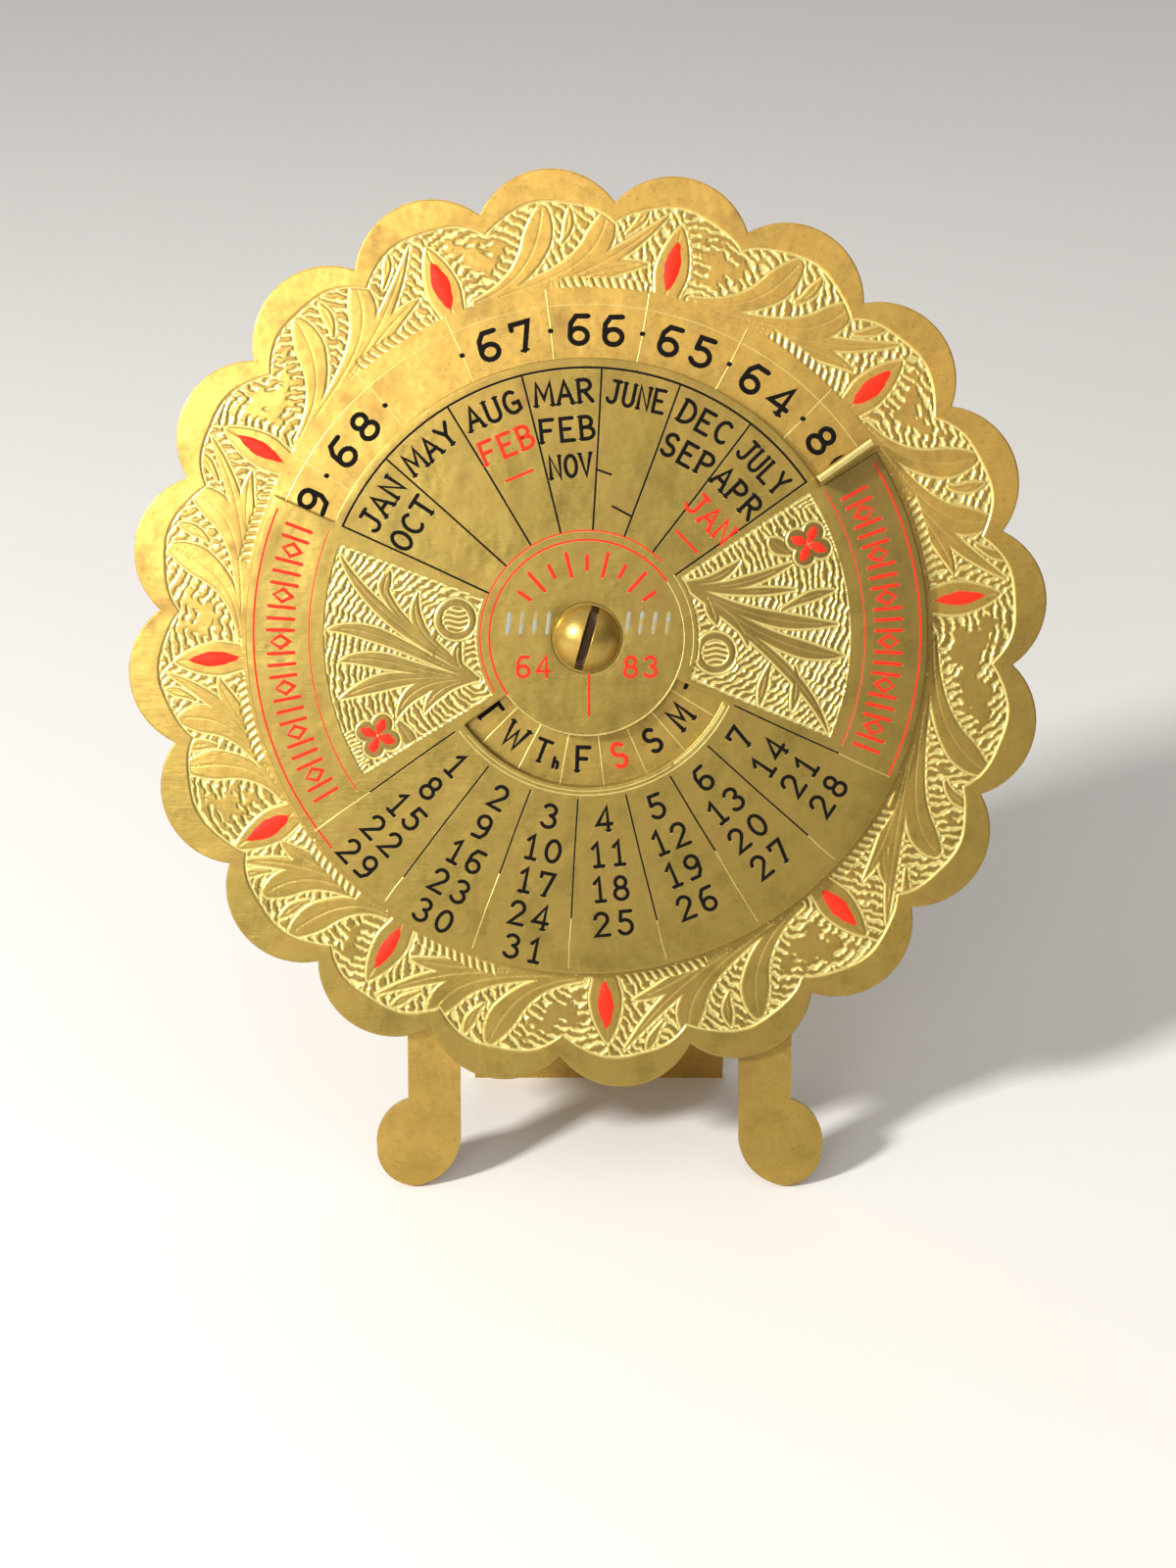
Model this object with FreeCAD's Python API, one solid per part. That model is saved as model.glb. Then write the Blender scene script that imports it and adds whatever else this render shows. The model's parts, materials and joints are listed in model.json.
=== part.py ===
import FreeCAD, Part
import math
import os

# Perpetual desk calendar in sheet brass. Millimetres, +Z up, the face looks along -Y.
# The pieces are drawn flat, with the plate upright and the pivot on the Y axis,
# then the whole assembly is leaned back onto its stand.

# Scalloped plate
PLATE_CREST_R = 50.0      # tip of a scallop
SCALLOP_RISE = 3.6        # from the notch between two scallops to a tip
SCALLOPS = 20
FIRST_CREST = 12.7        # degrees clockwise from the top, seen from the front
PLATE_T = 1.0

# Turning dial
DIAL_R = 36.9
DIAL_T = 0.8
DIAL_REST = -5.4          # degrees clockwise from its own upright, as photographed
YEAR_WINDOW_R = 29.9      # inner edge of the notch that shows the years
YEAR_WINDOW_SPAN = 120.0
DAY_WINDOW_R1 = 10.7      # slot that shows the weekdays
DAY_WINDOW_R2 = 16.2
DAY_WINDOW_SPAN = 120.0
TAB_H = 3.0               # thumb tab, bent forward at the notch's right end
TAB_BEND_R = 0.5
TAB_STEP = 0.1            # the tab's end is filed just short of the rim

# Pivot screw, washers and nut
SHANK_R = 2.0
HEAD_R = 3.55
HEAD_H = 2.6
HEAD_RIM = 0.5            # straight part under the head's round
SHANK_CHAMFER = 0.4
SLOT_W = 0.85
SLOT_DEPTH = 1.2
SLOT_TURN = 16.0          # degrees clockwise from upright
BORE_CLEAR = 0.06         # dial bore over the screw, radial
FIXED_CLEAR = 0.03        # fixed pieces over the screw, radial
END_PLAY = 0.05           # dial between the head and its spacer
SPACER_R = 5.0
SPACER_T = 0.5
WASHER_R = 4.5
WASHER_T = 0.8
WAVE_R = 4.0
WAVE_T = 0.4
WAVE_RISE = 0.35          # how far the spring washer bows
NUT_FLATS = 7.0
NUT_T = 3.0
NUT_CORNER_CUT = 0.2      # chamfer of the nut's corners
SHANK_PROUD = 1.2         # screw end beyond the nut

# Lac inlays
MARQUISE_LEN = 5.6
MARQUISE_W = 1.8
MARQUISE_GAP = 0.9        # from the dial's rim to the inlays
MARQUISE_AT = (13.0, 48.8, 84.0, 137.0, 177.1, 212.7, 239.1, 266.7, 300.0, 337.5)
LAC_DEPTH = 0.3
LAC_CLEAR = 0.01
PETAL_LEN = 1.9
PETAL_W = 1.1
FLOWER_PETALS = 3
FLOWER_HOLE = 0.35        # smooth eye left between the petals
FLOWER_R = 25.6
FLOWER_AT = (67.0, 245.0)  # on the photographed dial, degrees clockwise

# Sheet stand: two legs and a tongue cut from between them
LEAN = 18.0
STAND_T = 1.0
PIVOT_UP = 61.3           # pivot above the feet, along the plate
LEG_W = 5.8
LEG_GAP = 31.0            # between the legs
STAND_SHIFT = 1.4         # the hand-cut stand sits a little to the right
FOOT_BULGE = 3.5
FOOT_H = 9.8
FOOT_INNER_UP = 6.2       # where the straight inner edge starts to round
FOOT_LOW_IN = 4.9         # lowest point of the foot from the inner edge
FOOT_SIDE_UP = 4.4        # height of the foot's widest point
TONGUE_CLEAR = 0.6        # saw cut each side of the tongue
TONGUE_ROOT_UP = 38.5     # fold line above the feet, along the plate
FOLD_R = 1.2              # inside radius of the fold
SHOULDER_UP = 8.0         # full-width sheet above the fold
BOSS_R = 9.0              # rounded top around the pivot

os.makedirs("parts", exist_ok=True)

# Stack along the pivot, from the plate's front face at y = 0. Front is -Y.
PLATE_BACK = PLATE_T
SPACER_FRONT = -SPACER_T
DIAL_BACK = SPACER_FRONT - END_PLAY
DIAL_FRONT = DIAL_BACK - DIAL_T
HEAD_UNDER = DIAL_FRONT - END_PLAY
STAND_BACK = PLATE_BACK + STAND_T
WASHER_BACK = STAND_BACK + WASHER_T
WAVE_BACK = WASHER_BACK + WAVE_RISE + WAVE_T
NUT_BACK = WAVE_BACK + NUT_T
SHANK_END = NUT_BACK + SHANK_PROUD
PLATE_VALLEY_R = PLATE_CREST_R - SCALLOP_RISE
MARQUISE_R = DIAL_R + MARQUISE_GAP + MARQUISE_LEN / 2
CUT = 1.0                 # how far cutting tools run past a face
Y_AXIS = FreeCAD.Vector(0, 1, 0)
ORIGIN = FreeCAD.Vector(0, 0, 0)


def at(r, clock, y=0.0):
    """Point at a radius and a clock angle, in degrees clockwise seen from the front."""
    a = math.radians(clock)
    return FreeCAD.Vector(r * math.sin(a), y, r * math.cos(a))


def disc(r, y0, y1):
    return Part.makeCylinder(r, y1 - y0, FreeCAD.Vector(0, y0, 0), Y_AXIS)


def slab(edges, y0, y1):
    face = Part.Face(Part.Wire(Part.__sortEdges__(edges)))
    face.translate(FreeCAD.Vector(0, y0, 0))
    return face.extrude(FreeCAD.Vector(0, y1 - y0, 0))


def arc(p, q, r):
    return Part.Arc(p, q, r).toShape()


def ring_sector(r1, r2, mid, span, y0, y1):
    """Part of a ring, centred on the clock angle mid."""
    a, b = mid - span / 2, mid + span / 2
    edges = [arc(at(r1, a), at(r1, mid), at(r1, b)), arc(at(r2, a), at(r2, mid), at(r2, b)),
             Part.makeLine(at(r1, a), at(r2, a)), Part.makeLine(at(r1, b), at(r2, b))]
    return slab(edges, y0, y1)


def lens(length, width, y0, y1):
    """Pointed oval lying along Z, centred on the origin."""
    top, bottom = FreeCAD.Vector(0, 0, length / 2), FreeCAD.Vector(0, 0, -length / 2)
    right, left = FreeCAD.Vector(width / 2, 0, 0), FreeCAD.Vector(-width / 2, 0, 0)
    return slab([arc(bottom, right, top), arc(top, left, bottom)], y0, y1)


def turned(shape, clock):
    s = shape.copy()
    s.rotate(ORIGIN, Y_AXIS, clock)
    return s


def marquises(grow, y0, y1):
    one = lens(MARQUISE_LEN + 2 * grow, MARQUISE_W + 2 * grow, y0, y1)
    one.translate(FreeCAD.Vector(0, 0, MARQUISE_R))
    return [turned(one, clock) for clock in MARQUISE_AT]


def flower_petals(grow, y0, y1):
    petal = lens(PETAL_LEN + 2 * grow, PETAL_W + 2 * grow, y0, y1)
    petal.translate(FreeCAD.Vector(0, 0, FLOWER_HOLE + PETAL_LEN / 2))
    out = []
    for clock in FLOWER_AT:
        for k in range(FLOWER_PETALS):
            p = turned(petal, 360.0 * k / FLOWER_PETALS)
            p.translate(FreeCAD.Vector(0, 0, FLOWER_R))
            out.append(turned(p, clock))
    return out


def base_plate():
    pitch = 360.0 / SCALLOPS
    edges = []
    for k in range(SCALLOPS):
        c = FIRST_CREST + k * pitch
        edges.append(arc(at(PLATE_VALLEY_R, c - pitch / 2), at(PLATE_CREST_R, c),
                         at(PLATE_VALLEY_R, c + pitch / 2)))
    plate = slab(edges, 0, PLATE_BACK)
    plate = plate.cut(disc(SHANK_R + FIXED_CLEAR, -CUT, PLATE_BACK + CUT))
    for pocket in marquises(LAC_CLEAR, -CUT, LAC_DEPTH + LAC_CLEAR):
        plate = plate.cut(pocket)
    return plate


def marquise_lac():
    return Part.makeCompound(marquises(0, 0, LAC_DEPTH))


def thumb_tab():
    """Strip at the notch's right end, bent forward on a small radius."""
    r0, r1 = YEAR_WINDOW_R, DIAL_R - TAB_STEP
    tip = DIAL_FRONT - TAB_H
    # Section in X-Y at the notch edge x = 0, with the sheet running to +X
    v = lambda x, y: FreeCAD.Vector(x, y, r0)
    outer = TAB_BEND_R + DIAL_T
    root = outer + DIAL_T
    bend_y = DIAL_FRONT - TAB_BEND_R
    half_turn = math.cos(math.radians(45))
    on_bend = lambda r: v(outer - r * half_turn, bend_y + r * half_turn)
    edges = [Part.makeLine(v(root, DIAL_FRONT), v(outer, DIAL_FRONT)),
             arc(v(outer, DIAL_FRONT), on_bend(TAB_BEND_R), v(DIAL_T, bend_y)),
             Part.makeLine(v(DIAL_T, bend_y), v(DIAL_T, tip)),
             Part.makeLine(v(DIAL_T, tip), v(0, tip)),
             Part.makeLine(v(0, tip), v(0, bend_y)),
             arc(v(0, bend_y), on_bend(outer), v(outer, DIAL_BACK)),
             Part.makeLine(v(outer, DIAL_BACK), v(root, DIAL_BACK)),
             Part.makeLine(v(root, DIAL_BACK), v(root, DIAL_FRONT))]
    face = Part.Face(Part.Wire(edges))
    return turned(face.extrude(FreeCAD.Vector(0, 0, r1 - r0)), YEAR_WINDOW_SPAN / 2)


def front_dial():
    dial = disc(DIAL_R, DIAL_FRONT, DIAL_BACK)
    through = (DIAL_FRONT - CUT, DIAL_BACK + CUT)
    dial = dial.cut(ring_sector(YEAR_WINDOW_R, DIAL_R + CUT, 0, YEAR_WINDOW_SPAN, *through))
    corner = Part.makeBox(TAB_BEND_R + DIAL_T, DIAL_T + 2 * CUT, DIAL_R + CUT - YEAR_WINDOW_R,
                          FreeCAD.Vector(0, DIAL_FRONT - CUT, YEAR_WINDOW_R))
    dial = dial.cut(turned(corner, YEAR_WINDOW_SPAN / 2))
    dial = dial.fuse(thumb_tab()).removeSplitter()
    dial = dial.cut(ring_sector(DAY_WINDOW_R1, DAY_WINDOW_R2, 180, DAY_WINDOW_SPAN, *through))
    dial = dial.cut(disc(SHANK_R + BORE_CLEAR, *through))
    dial = turned(dial, DIAL_REST)
    for pocket in flower_petals(LAC_CLEAR, DIAL_FRONT - CUT, DIAL_FRONT + LAC_DEPTH + LAC_CLEAR):
        dial = dial.cut(pocket)
    return dial


def flower_lac():
    return Part.makeCompound(flower_petals(0, DIAL_FRONT, DIAL_FRONT + LAC_DEPTH))


def pivot_screw():
    shank = disc(SHANK_R, HEAD_UNDER - HEAD_RIM, SHANK_END)
    end = [e for e in shank.Edges if abs(e.BoundBox.YMin - SHANK_END) < 1e-6]
    shank = shank.makeChamfer(SHANK_CHAMFER, end)
    # Round head: a ball cap of the stated radius and height, with a short straight rim
    cap_h = HEAD_H - HEAD_RIM
    ball_r = (HEAD_R ** 2 + cap_h ** 2) / (2 * cap_h)
    ball = Part.makeSphere(ball_r, FreeCAD.Vector(0, HEAD_UNDER - HEAD_H + ball_r, 0))
    head = disc(HEAD_R, HEAD_UNDER - HEAD_H, HEAD_UNDER).common(ball)
    slot = Part.makeBox(SLOT_W, SLOT_DEPTH + CUT, 2 * (HEAD_R + CUT),
                        FreeCAD.Vector(-SLOT_W / 2, HEAD_UNDER - HEAD_H - CUT, -HEAD_R - CUT))
    return head.fuse(shank).removeSplitter().cut(turned(slot, SLOT_TURN))


def dial_spacer():
    return disc(SPACER_R, SPACER_FRONT, 0).cut(disc(SHANK_R + FIXED_CLEAR, SPACER_FRONT - CUT, CUT))


def plain_washer():
    hole = disc(SHANK_R + FIXED_CLEAR, STAND_BACK - CUT, WASHER_BACK + CUT)
    return disc(WASHER_R, STAND_BACK, WASHER_BACK).cut(hole)


def spring_washer():
    """Thin ring bowed about the X axis: its middle bears on the washer, its ends on the nut."""
    half = WAVE_R
    bow_r = (half ** 2 + WAVE_RISE ** 2) / (2 * WAVE_RISE)
    centre = FreeCAD.Vector(-WAVE_R - CUT, WASHER_BACK + bow_r + WAVE_T, 0)
    outer = Part.makeCylinder(bow_r + WAVE_T, 2 * (WAVE_R + CUT), centre, FreeCAD.Vector(1, 0, 0))
    inner = Part.makeCylinder(bow_r, 2 * (WAVE_R + CUT), centre, FreeCAD.Vector(1, 0, 0))
    shell = outer.cut(inner)
    hole = disc(SHANK_R + FIXED_CLEAR, WASHER_BACK - CUT, WAVE_BACK + CUT)
    ring = disc(WAVE_R, WASHER_BACK, WAVE_BACK).cut(hole)
    return shell.common(ring)


def hex_nut():
    corner = NUT_FLATS / math.sqrt(3)
    pts = [at(corner, 60 * k, 0) for k in range(7)]
    nut = slab([Part.makeLine(p, q) for p, q in zip(pts, pts[1:])], WAVE_BACK, NUT_BACK)
    small = corner - NUT_CORNER_CUT
    cone = Part.makeCone(small, small + 2 * NUT_T, NUT_T, FreeCAD.Vector(0, NUT_BACK, 0), -Y_AXIS)
    nut = nut.common(cone)
    return nut.cut(disc(SHANK_R + FIXED_CLEAR, WAVE_BACK - CUT, NUT_BACK + CUT))


def leg(side):
    """One leg with its rounded foot; side is -1 left or +1 right."""
    base = -PIVOT_UP
    top = base + TONGUE_ROOT_UP
    inner, outer = 0, side * LEG_W
    wide = outer + side * FOOT_BULGE
    low = side * FOOT_LOW_IN
    p = lambda x, up: FreeCAD.Vector(x, 0, base + up)
    inner_round = p(0.3 * low, 0.3 * FOOT_INNER_UP)
    heel_round = p(wide - 0.3 * (wide - low), 0.25 * FOOT_SIDE_UP)
    ankle_round = p(wide - 0.25 * side * FOOT_BULGE, (FOOT_SIDE_UP + 2 * FOOT_H) / 3)
    edges = [Part.makeLine(p(inner, top - base), p(inner, FOOT_INNER_UP)),
             arc(p(inner, FOOT_INNER_UP), inner_round, p(low, 0)),
             arc(p(low, 0), heel_round, p(wide, FOOT_SIDE_UP)),
             arc(p(wide, FOOT_SIDE_UP), ankle_round, p(outer, FOOT_H)),
             Part.makeLine(p(outer, FOOT_H), p(outer, top - base)),
             Part.makeLine(p(outer, top - base), p(inner, top - base))]
    s = slab(edges, PLATE_BACK, STAND_BACK)
    s.translate(FreeCAD.Vector(STAND_SHIFT + side * LEG_GAP / 2, 0, 0))
    return s


def stand_sheet():
    """Full-width sheet above the fold, tapering to a round boss at the pivot."""
    half = LEG_GAP / 2 + LEG_W
    low = -PIVOT_UP + TONGUE_ROOT_UP
    high = low + SHOULDER_UP
    p = lambda x, z: FreeCAD.Vector(x, 0, z)
    edges = [Part.makeLine(p(STAND_SHIFT - half, low), p(STAND_SHIFT + half, low)),
             Part.makeLine(p(STAND_SHIFT + half, low), p(STAND_SHIFT + half, high)),
             Part.makeLine(p(STAND_SHIFT + half, high), p(BOSS_R, 0)),
             arc(p(BOSS_R, 0), p(0, BOSS_R), p(-BOSS_R, 0)),
             Part.makeLine(p(-BOSS_R, 0), p(STAND_SHIFT - half, high)),
             Part.makeLine(p(STAND_SHIFT - half, high), p(STAND_SHIFT - half, low))]
    return slab(edges, PLATE_BACK, STAND_BACK)


def tongue():
    """Middle of the sheet, folded back, its end filed flat to the floor that the feet stand on."""
    fold, lean = math.radians(2 * LEAN), math.radians(LEAN)
    half = LEG_GAP / 2 - TONGUE_CLEAR
    root = -PIVOT_UP + TONGUE_ROOT_UP
    centre_y = STAND_BACK + FOLD_R
    v = lambda y, z: FreeCAD.Vector(STAND_SHIFT - half, y, z)
    on_fold = lambda r, t: (centre_y - r * math.cos(t), root - r * math.sin(t))
    y_in, z_in = on_fold(FOLD_R, fold)
    y_out, z_out = on_fold(FOLD_R + STAND_T, fold)
    # Upright, the floor is a line through the feet that climbs backwards with the lean
    climb = math.tan(lean)

    def down_to_floor(y, z):
        above = z + PIVOT_UP - (y - STAND_BACK) * climb
        length = above / (math.cos(fold) + climb * math.sin(fold))
        return v(y + length * math.sin(fold), z - length * math.cos(fold))

    top = root + SHOULDER_UP / 2
    edges = [Part.makeLine(v(PLATE_BACK, top), v(STAND_BACK, top)),
             Part.makeLine(v(STAND_BACK, top), v(STAND_BACK, root)),
             arc(v(STAND_BACK, root), v(*on_fold(FOLD_R, fold / 2)), v(y_in, z_in)),
             Part.makeLine(v(y_in, z_in), down_to_floor(y_in, z_in)),
             Part.makeLine(down_to_floor(y_in, z_in), down_to_floor(y_out, z_out)),
             Part.makeLine(down_to_floor(y_out, z_out), v(y_out, z_out)),
             arc(v(y_out, z_out), v(*on_fold(FOLD_R + STAND_T, fold / 2)), v(PLATE_BACK, root)),
             Part.makeLine(v(PLATE_BACK, root), v(PLATE_BACK, top))]
    return Part.Face(Part.Wire(edges)).extrude(FreeCAD.Vector(2 * half, 0, 0))


def stand():
    s = stand_sheet().fuse([leg(-1), leg(1), tongue()]).removeSplitter()
    return s.cut(disc(SHANK_R + FIXED_CLEAR, PLATE_BACK - CUT, STAND_BACK + CUT))


nodes = {
    "base_plate": base_plate(),
    "marquise_lac": marquise_lac(),
    "front_dial": front_dial(),
    "flower_lac": flower_lac(),
    "dial_spacer": dial_spacer(),
    "pivot_screw": pivot_screw(),
    "stand": stand(),
    "plain_washer": plain_washer(),
    "spring_washer": spring_washer(),
    "hex_nut": hex_nut(),
}

# Lean the upright assembly back, then set its feet on z = 0 and its box on y = 0
for shape in nodes.values():
    shape.rotate(ORIGIN, FreeCAD.Vector(1, 0, 0), -LEAN)
box = FreeCAD.BoundBox()
for shape in nodes.values():
    box.add(shape.optimalBoundingBox(False, False))
shift = FreeCAD.Vector(0, -(box.YMin + box.YMax) / 2, -box.ZMin)
for name, shape in nodes.items():
    shape.translate(shift)
    shape.exportStep("parts/%s.step" % name)
    b = shape.optimalBoundingBox(False, False)
    extents = (b.XMin, b.XMax, b.YMin, b.YMax, b.ZMin, b.ZMax)
    print("%-14s solids %2d valid %s volume %8.1f mm3  x %.2f..%.2f y %.2f..%.2f z %.2f..%.2f" % (
        name, len(shape.Solids), shape.isValid(), shape.Volume, *extents))
lean = math.radians(LEAN)
floor_faces = [f for f in nodes["stand"].Faces if f.BoundBox.ZMax < 0.01]
print("faces on the floor:", [([round(c, 4) for c in f.CenterOfMass], round(f.Area, 2)) for f in floor_faces])
print("pivot centre at the plate's front face (mm):", [round(c, 4) for c in shift])
print("pivot axis towards the front:", [0, round(-math.cos(lean), 6), round(math.sin(lean), 6)])
print("overall (mm): %.2f x %.2f x %.2f" % (box.XLength, box.YLength, box.ZLength))
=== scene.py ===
import json
import math

import bpy
import numpy as np
from mathutils import Matrix, Vector


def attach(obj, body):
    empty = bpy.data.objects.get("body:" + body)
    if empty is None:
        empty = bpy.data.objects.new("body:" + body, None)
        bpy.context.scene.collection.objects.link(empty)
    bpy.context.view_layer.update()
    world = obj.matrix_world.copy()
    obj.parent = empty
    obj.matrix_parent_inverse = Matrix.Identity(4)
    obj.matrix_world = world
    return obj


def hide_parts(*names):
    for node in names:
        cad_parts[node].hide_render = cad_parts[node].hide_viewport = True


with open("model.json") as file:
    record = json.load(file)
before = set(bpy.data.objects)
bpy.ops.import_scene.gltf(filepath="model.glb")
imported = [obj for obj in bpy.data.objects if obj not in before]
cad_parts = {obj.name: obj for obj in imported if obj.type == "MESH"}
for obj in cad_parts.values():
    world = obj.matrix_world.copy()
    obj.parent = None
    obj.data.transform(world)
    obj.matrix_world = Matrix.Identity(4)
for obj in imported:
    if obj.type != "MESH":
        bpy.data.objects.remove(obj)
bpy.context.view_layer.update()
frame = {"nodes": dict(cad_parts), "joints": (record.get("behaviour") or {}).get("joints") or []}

bl_info = {
    "name": "Engraved Brass Desk Calendar",
    "version": (1, 0, 0),
    "blender": (4, 5, 0),
    "location": "View3D > Sidebar > Brass Calendar",
    "description": "Dresses a perpetual desk calendar in engraved sheet brass with lac inlays",
    "category": "Object",
}

MM = 0.001

# The pivot's joint gives the plate's own frame: right, up along the plate, out of its face
PIVOT = frame["joints"][0]
OUT = Vector(PIVOT["axis"]).normalized()
RIGHT = Vector((1, 0, 0))
UP = OUT.cross(RIGHT)
PLATE_ORIGIN = Vector(PIVOT["pos_m"])
PLATE = Matrix((
    (*[v[0] * MM for v in (RIGHT, UP, OUT)], PLATE_ORIGIN[0]),
    (*[v[1] * MM for v in (RIGHT, UP, OUT)], PLATE_ORIGIN[1]),
    (*[v[2] * MM for v in (RIGHT, UP, OUT)], PLATE_ORIGIN[2]),
    (0, 0, 0, 1)))

# Sizes on the solids, in millimetres and degrees: radii from the pivot, heights out of the plate's face
CREST_R = 50.0
VALLEY_R = 46.4
SCALLOPS = 20
FIRST_CREST = 12.7
DIAL_R = 36.9
DIAL_FACE = 1.35
DIAL_TURN = -5.4
NOTCH_R = 29.9
DAY_R1 = 10.7
DAY_R2 = 16.2
WINDOW = 120.0
HEAD_R = 3.55
HEAD_UNDER = 1.4
HEAD_H = 2.6
HEAD_RIM = 0.5
SLOT_HALF = 0.5
SLOT_DEPTH = 1.25
SLOT_TURN = 16.0
SHANK_R = 2.0
THREAD_PITCH = 0.7
THREAD_DEPTH = 0.22
TAB_THICK = 0.8

# The cut and worn skin that lies on each sheet: its height, its height at its own edge, how far it stays
# inside the sheet's edge, how far in it rounds off, the share of it that the deepest cut takes away, and
# how deep the marks sit in it
SKIN = 0.15
SKIN_LOW = 0.02
INSET = 0.05
EDGE = 0.15
CUT_SHARE = 0.9
MARK_SINK = 0.01

# Grid steps from an edge, close enough together to round it
EDGE_STEPS = (0.0, 0.02, 0.06, 0.11, EDGE)

# Places of the ten inlays on the plate, in degrees clockwise, and of the dial's flowers, right and left
MARQUISE_AT = (13.0, 48.8, 84.0, 137.0, 177.1, 212.7, 239.1, 266.7, 300.0, 337.5)
MARQUISE_R = 40.6
RED_FLOWERS = ((23.8, 10.1), (-22.7, -10.6))
PETALS = 4
PETAL_TURN = 20.0
ROUND_FLOWERS = ((13.8, -1.6), (-14.2, 2.0))

# Where the engraved border begins, and the plain rings inside it that the windows show
BORDER_R = 37.2
BORDER_PIECES = 6
PLAIN_RINGS = {"year_ring": (28.6, BORDER_R), "weekday_ring": (9.4, 17.6)}

# How much further the tarnish has gone on each sheet than on the plate, and how bright burrs and bare lines
# are: bare metal with a painted highlight on it
TARNISHED = {"plate": 0.0, "dial": 0.5, "stand": -0.4}
BARE_LINE_AND_BURR_HIGHLIGHT = 0.55

# Calendar marks. A leading dash means red, and a dash alone a short red stroke
YEAR_CELLS = ("64", "65", "66", "67", "", "68", "69", "70", "71", "83", "72", "73", "74", "75", "81",
              "76", "77", "78", "79", "", "80")
MONTH_COLUMNS = (("JAN", "OCT"), ("MAY",), ("AUG", "-FEB", "-"), ("MAR", "FEB", "NOV"), ("JUNE",),
                 ("DEC", "SEP"), ("JULY", "APR", "-JAN", "-"))
WEEK = ("M", "S", "-S", "F", "Th", "W", "T")
CELL = 360.0 / 21
FIRST_YEAR_AT = 36.1
FIRST_DAY_AT = 130.3
COLUMN = WINDOW / 7

# Circles on the dial, in red lac and in bare brass: radius, from and to which angle, and width. The wide
# bare one at 16.65 from 122 to 150 is a painted highlight on the weekday window's lip
RED_RINGS = ((36.0, 64, 120, 0.26), (36.0, 236, 298, 0.26), (30.0, 64, 118, 0.16), (30.0, 242, 298, 0.16),
             (10.55, 240, 420, 0.26), (11.55, 245, 410, 0.2))
BRIGHT_RINGS = ((17.1, 121, 239, 0.2), (16.65, 122, 150, 0.46), (16.65, 152, 236, 0.16),
                (10.55, 60, 240, 0.2), (11.55, 60, 110, 0.16))

# Strokes in the dial's two side bands: from and to which angle, and at what radius
SIDE_BANDS = ((238.0, 292.0, 33.1), (60.5, 112.5, 32.6))
BAND_STROKES = 25

# Heights of the letters and numerals, and the radii of their middles or of the first row's middles
YEAR_TALL = 3.0
YEAR_R = 32.9
DAY_TALL = 2.6
DAY_R = 13.3
MONTH_TALL = 2.35
MONTH_R = 26.3
MONTH_ROW = 3.9
DATE_TALL = 2.55
DATE_R = 19.8


def srgb(code):
    """A hex colour as Blender's linear values."""
    values = [int(code[i:i + 2], 16) / 255 for i in (1, 3, 5)]
    return [v / 12.92 if v <= 0.04045 else ((v + 0.055) / 1.055) ** 2.4 for v in values] + [1.0]


def add(tree, kind, links=None, **settings):
    """A node with its settings, and its inputs linked by name or number."""
    made = tree.nodes.new(kind)
    for key, value in settings.items():
        if key.startswith("in_"):
            name = key[3:]
            made.inputs[int(name) if name.isdigit() else name].default_value = value
        else:
            setattr(made, key, value)
    for key, source in (links or {}).items():
        tree.links.new(source, made.inputs[key])
    return made


def new_material(name):
    made = bpy.data.materials.new(name)
    made.use_nodes = True
    tree = made.node_tree
    tree.nodes.clear()
    shader = add(tree, "ShaderNodeBsdfPrincipled")
    add(tree, "ShaderNodeOutputMaterial", {"Surface": shader.outputs[0]})
    return made, tree, shader


def mix(tree, factor, a, b):
    """Colour mix; a and b are sockets or hex codes."""
    made = add(tree, "ShaderNodeMix", data_type="RGBA")
    for socket, value in ((6, a), (7, b)):
        if isinstance(value, str):
            made.inputs[socket].default_value = srgb(value)
        else:
            tree.links.new(value, made.inputs[socket])
    if isinstance(factor, float):
        made.inputs[0].default_value = factor
    else:
        tree.links.new(factor, made.inputs[0])
    return made.outputs[2]


def maths(tree, operation, a, b):
    """a and b are sockets or numbers."""
    made = add(tree, "ShaderNodeMath", operation=operation)
    for socket, value in zip(made.inputs, (a, b)):
        if isinstance(value, float):
            socket.default_value = value
        else:
            tree.links.new(value, socket)
    return made.outputs[0]


def ramp(tree, source, low, high):
    """0 below low and 1 above high."""
    return add(tree, "ShaderNodeMapRange", {0: source}, in_1=low, in_2=high).outputs[0]


def noise(tree, place, size_mm, detail=4.0, roughness=0.55):
    """Noise whose features are about size_mm across; the object's coordinates are metres."""
    return add(tree, "ShaderNodeTexNoise", {"Vector": place}, in_Scale=1000.0 / size_mm, in_Detail=detail,
               in_Roughness=roughness).outputs["Fac"]


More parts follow.
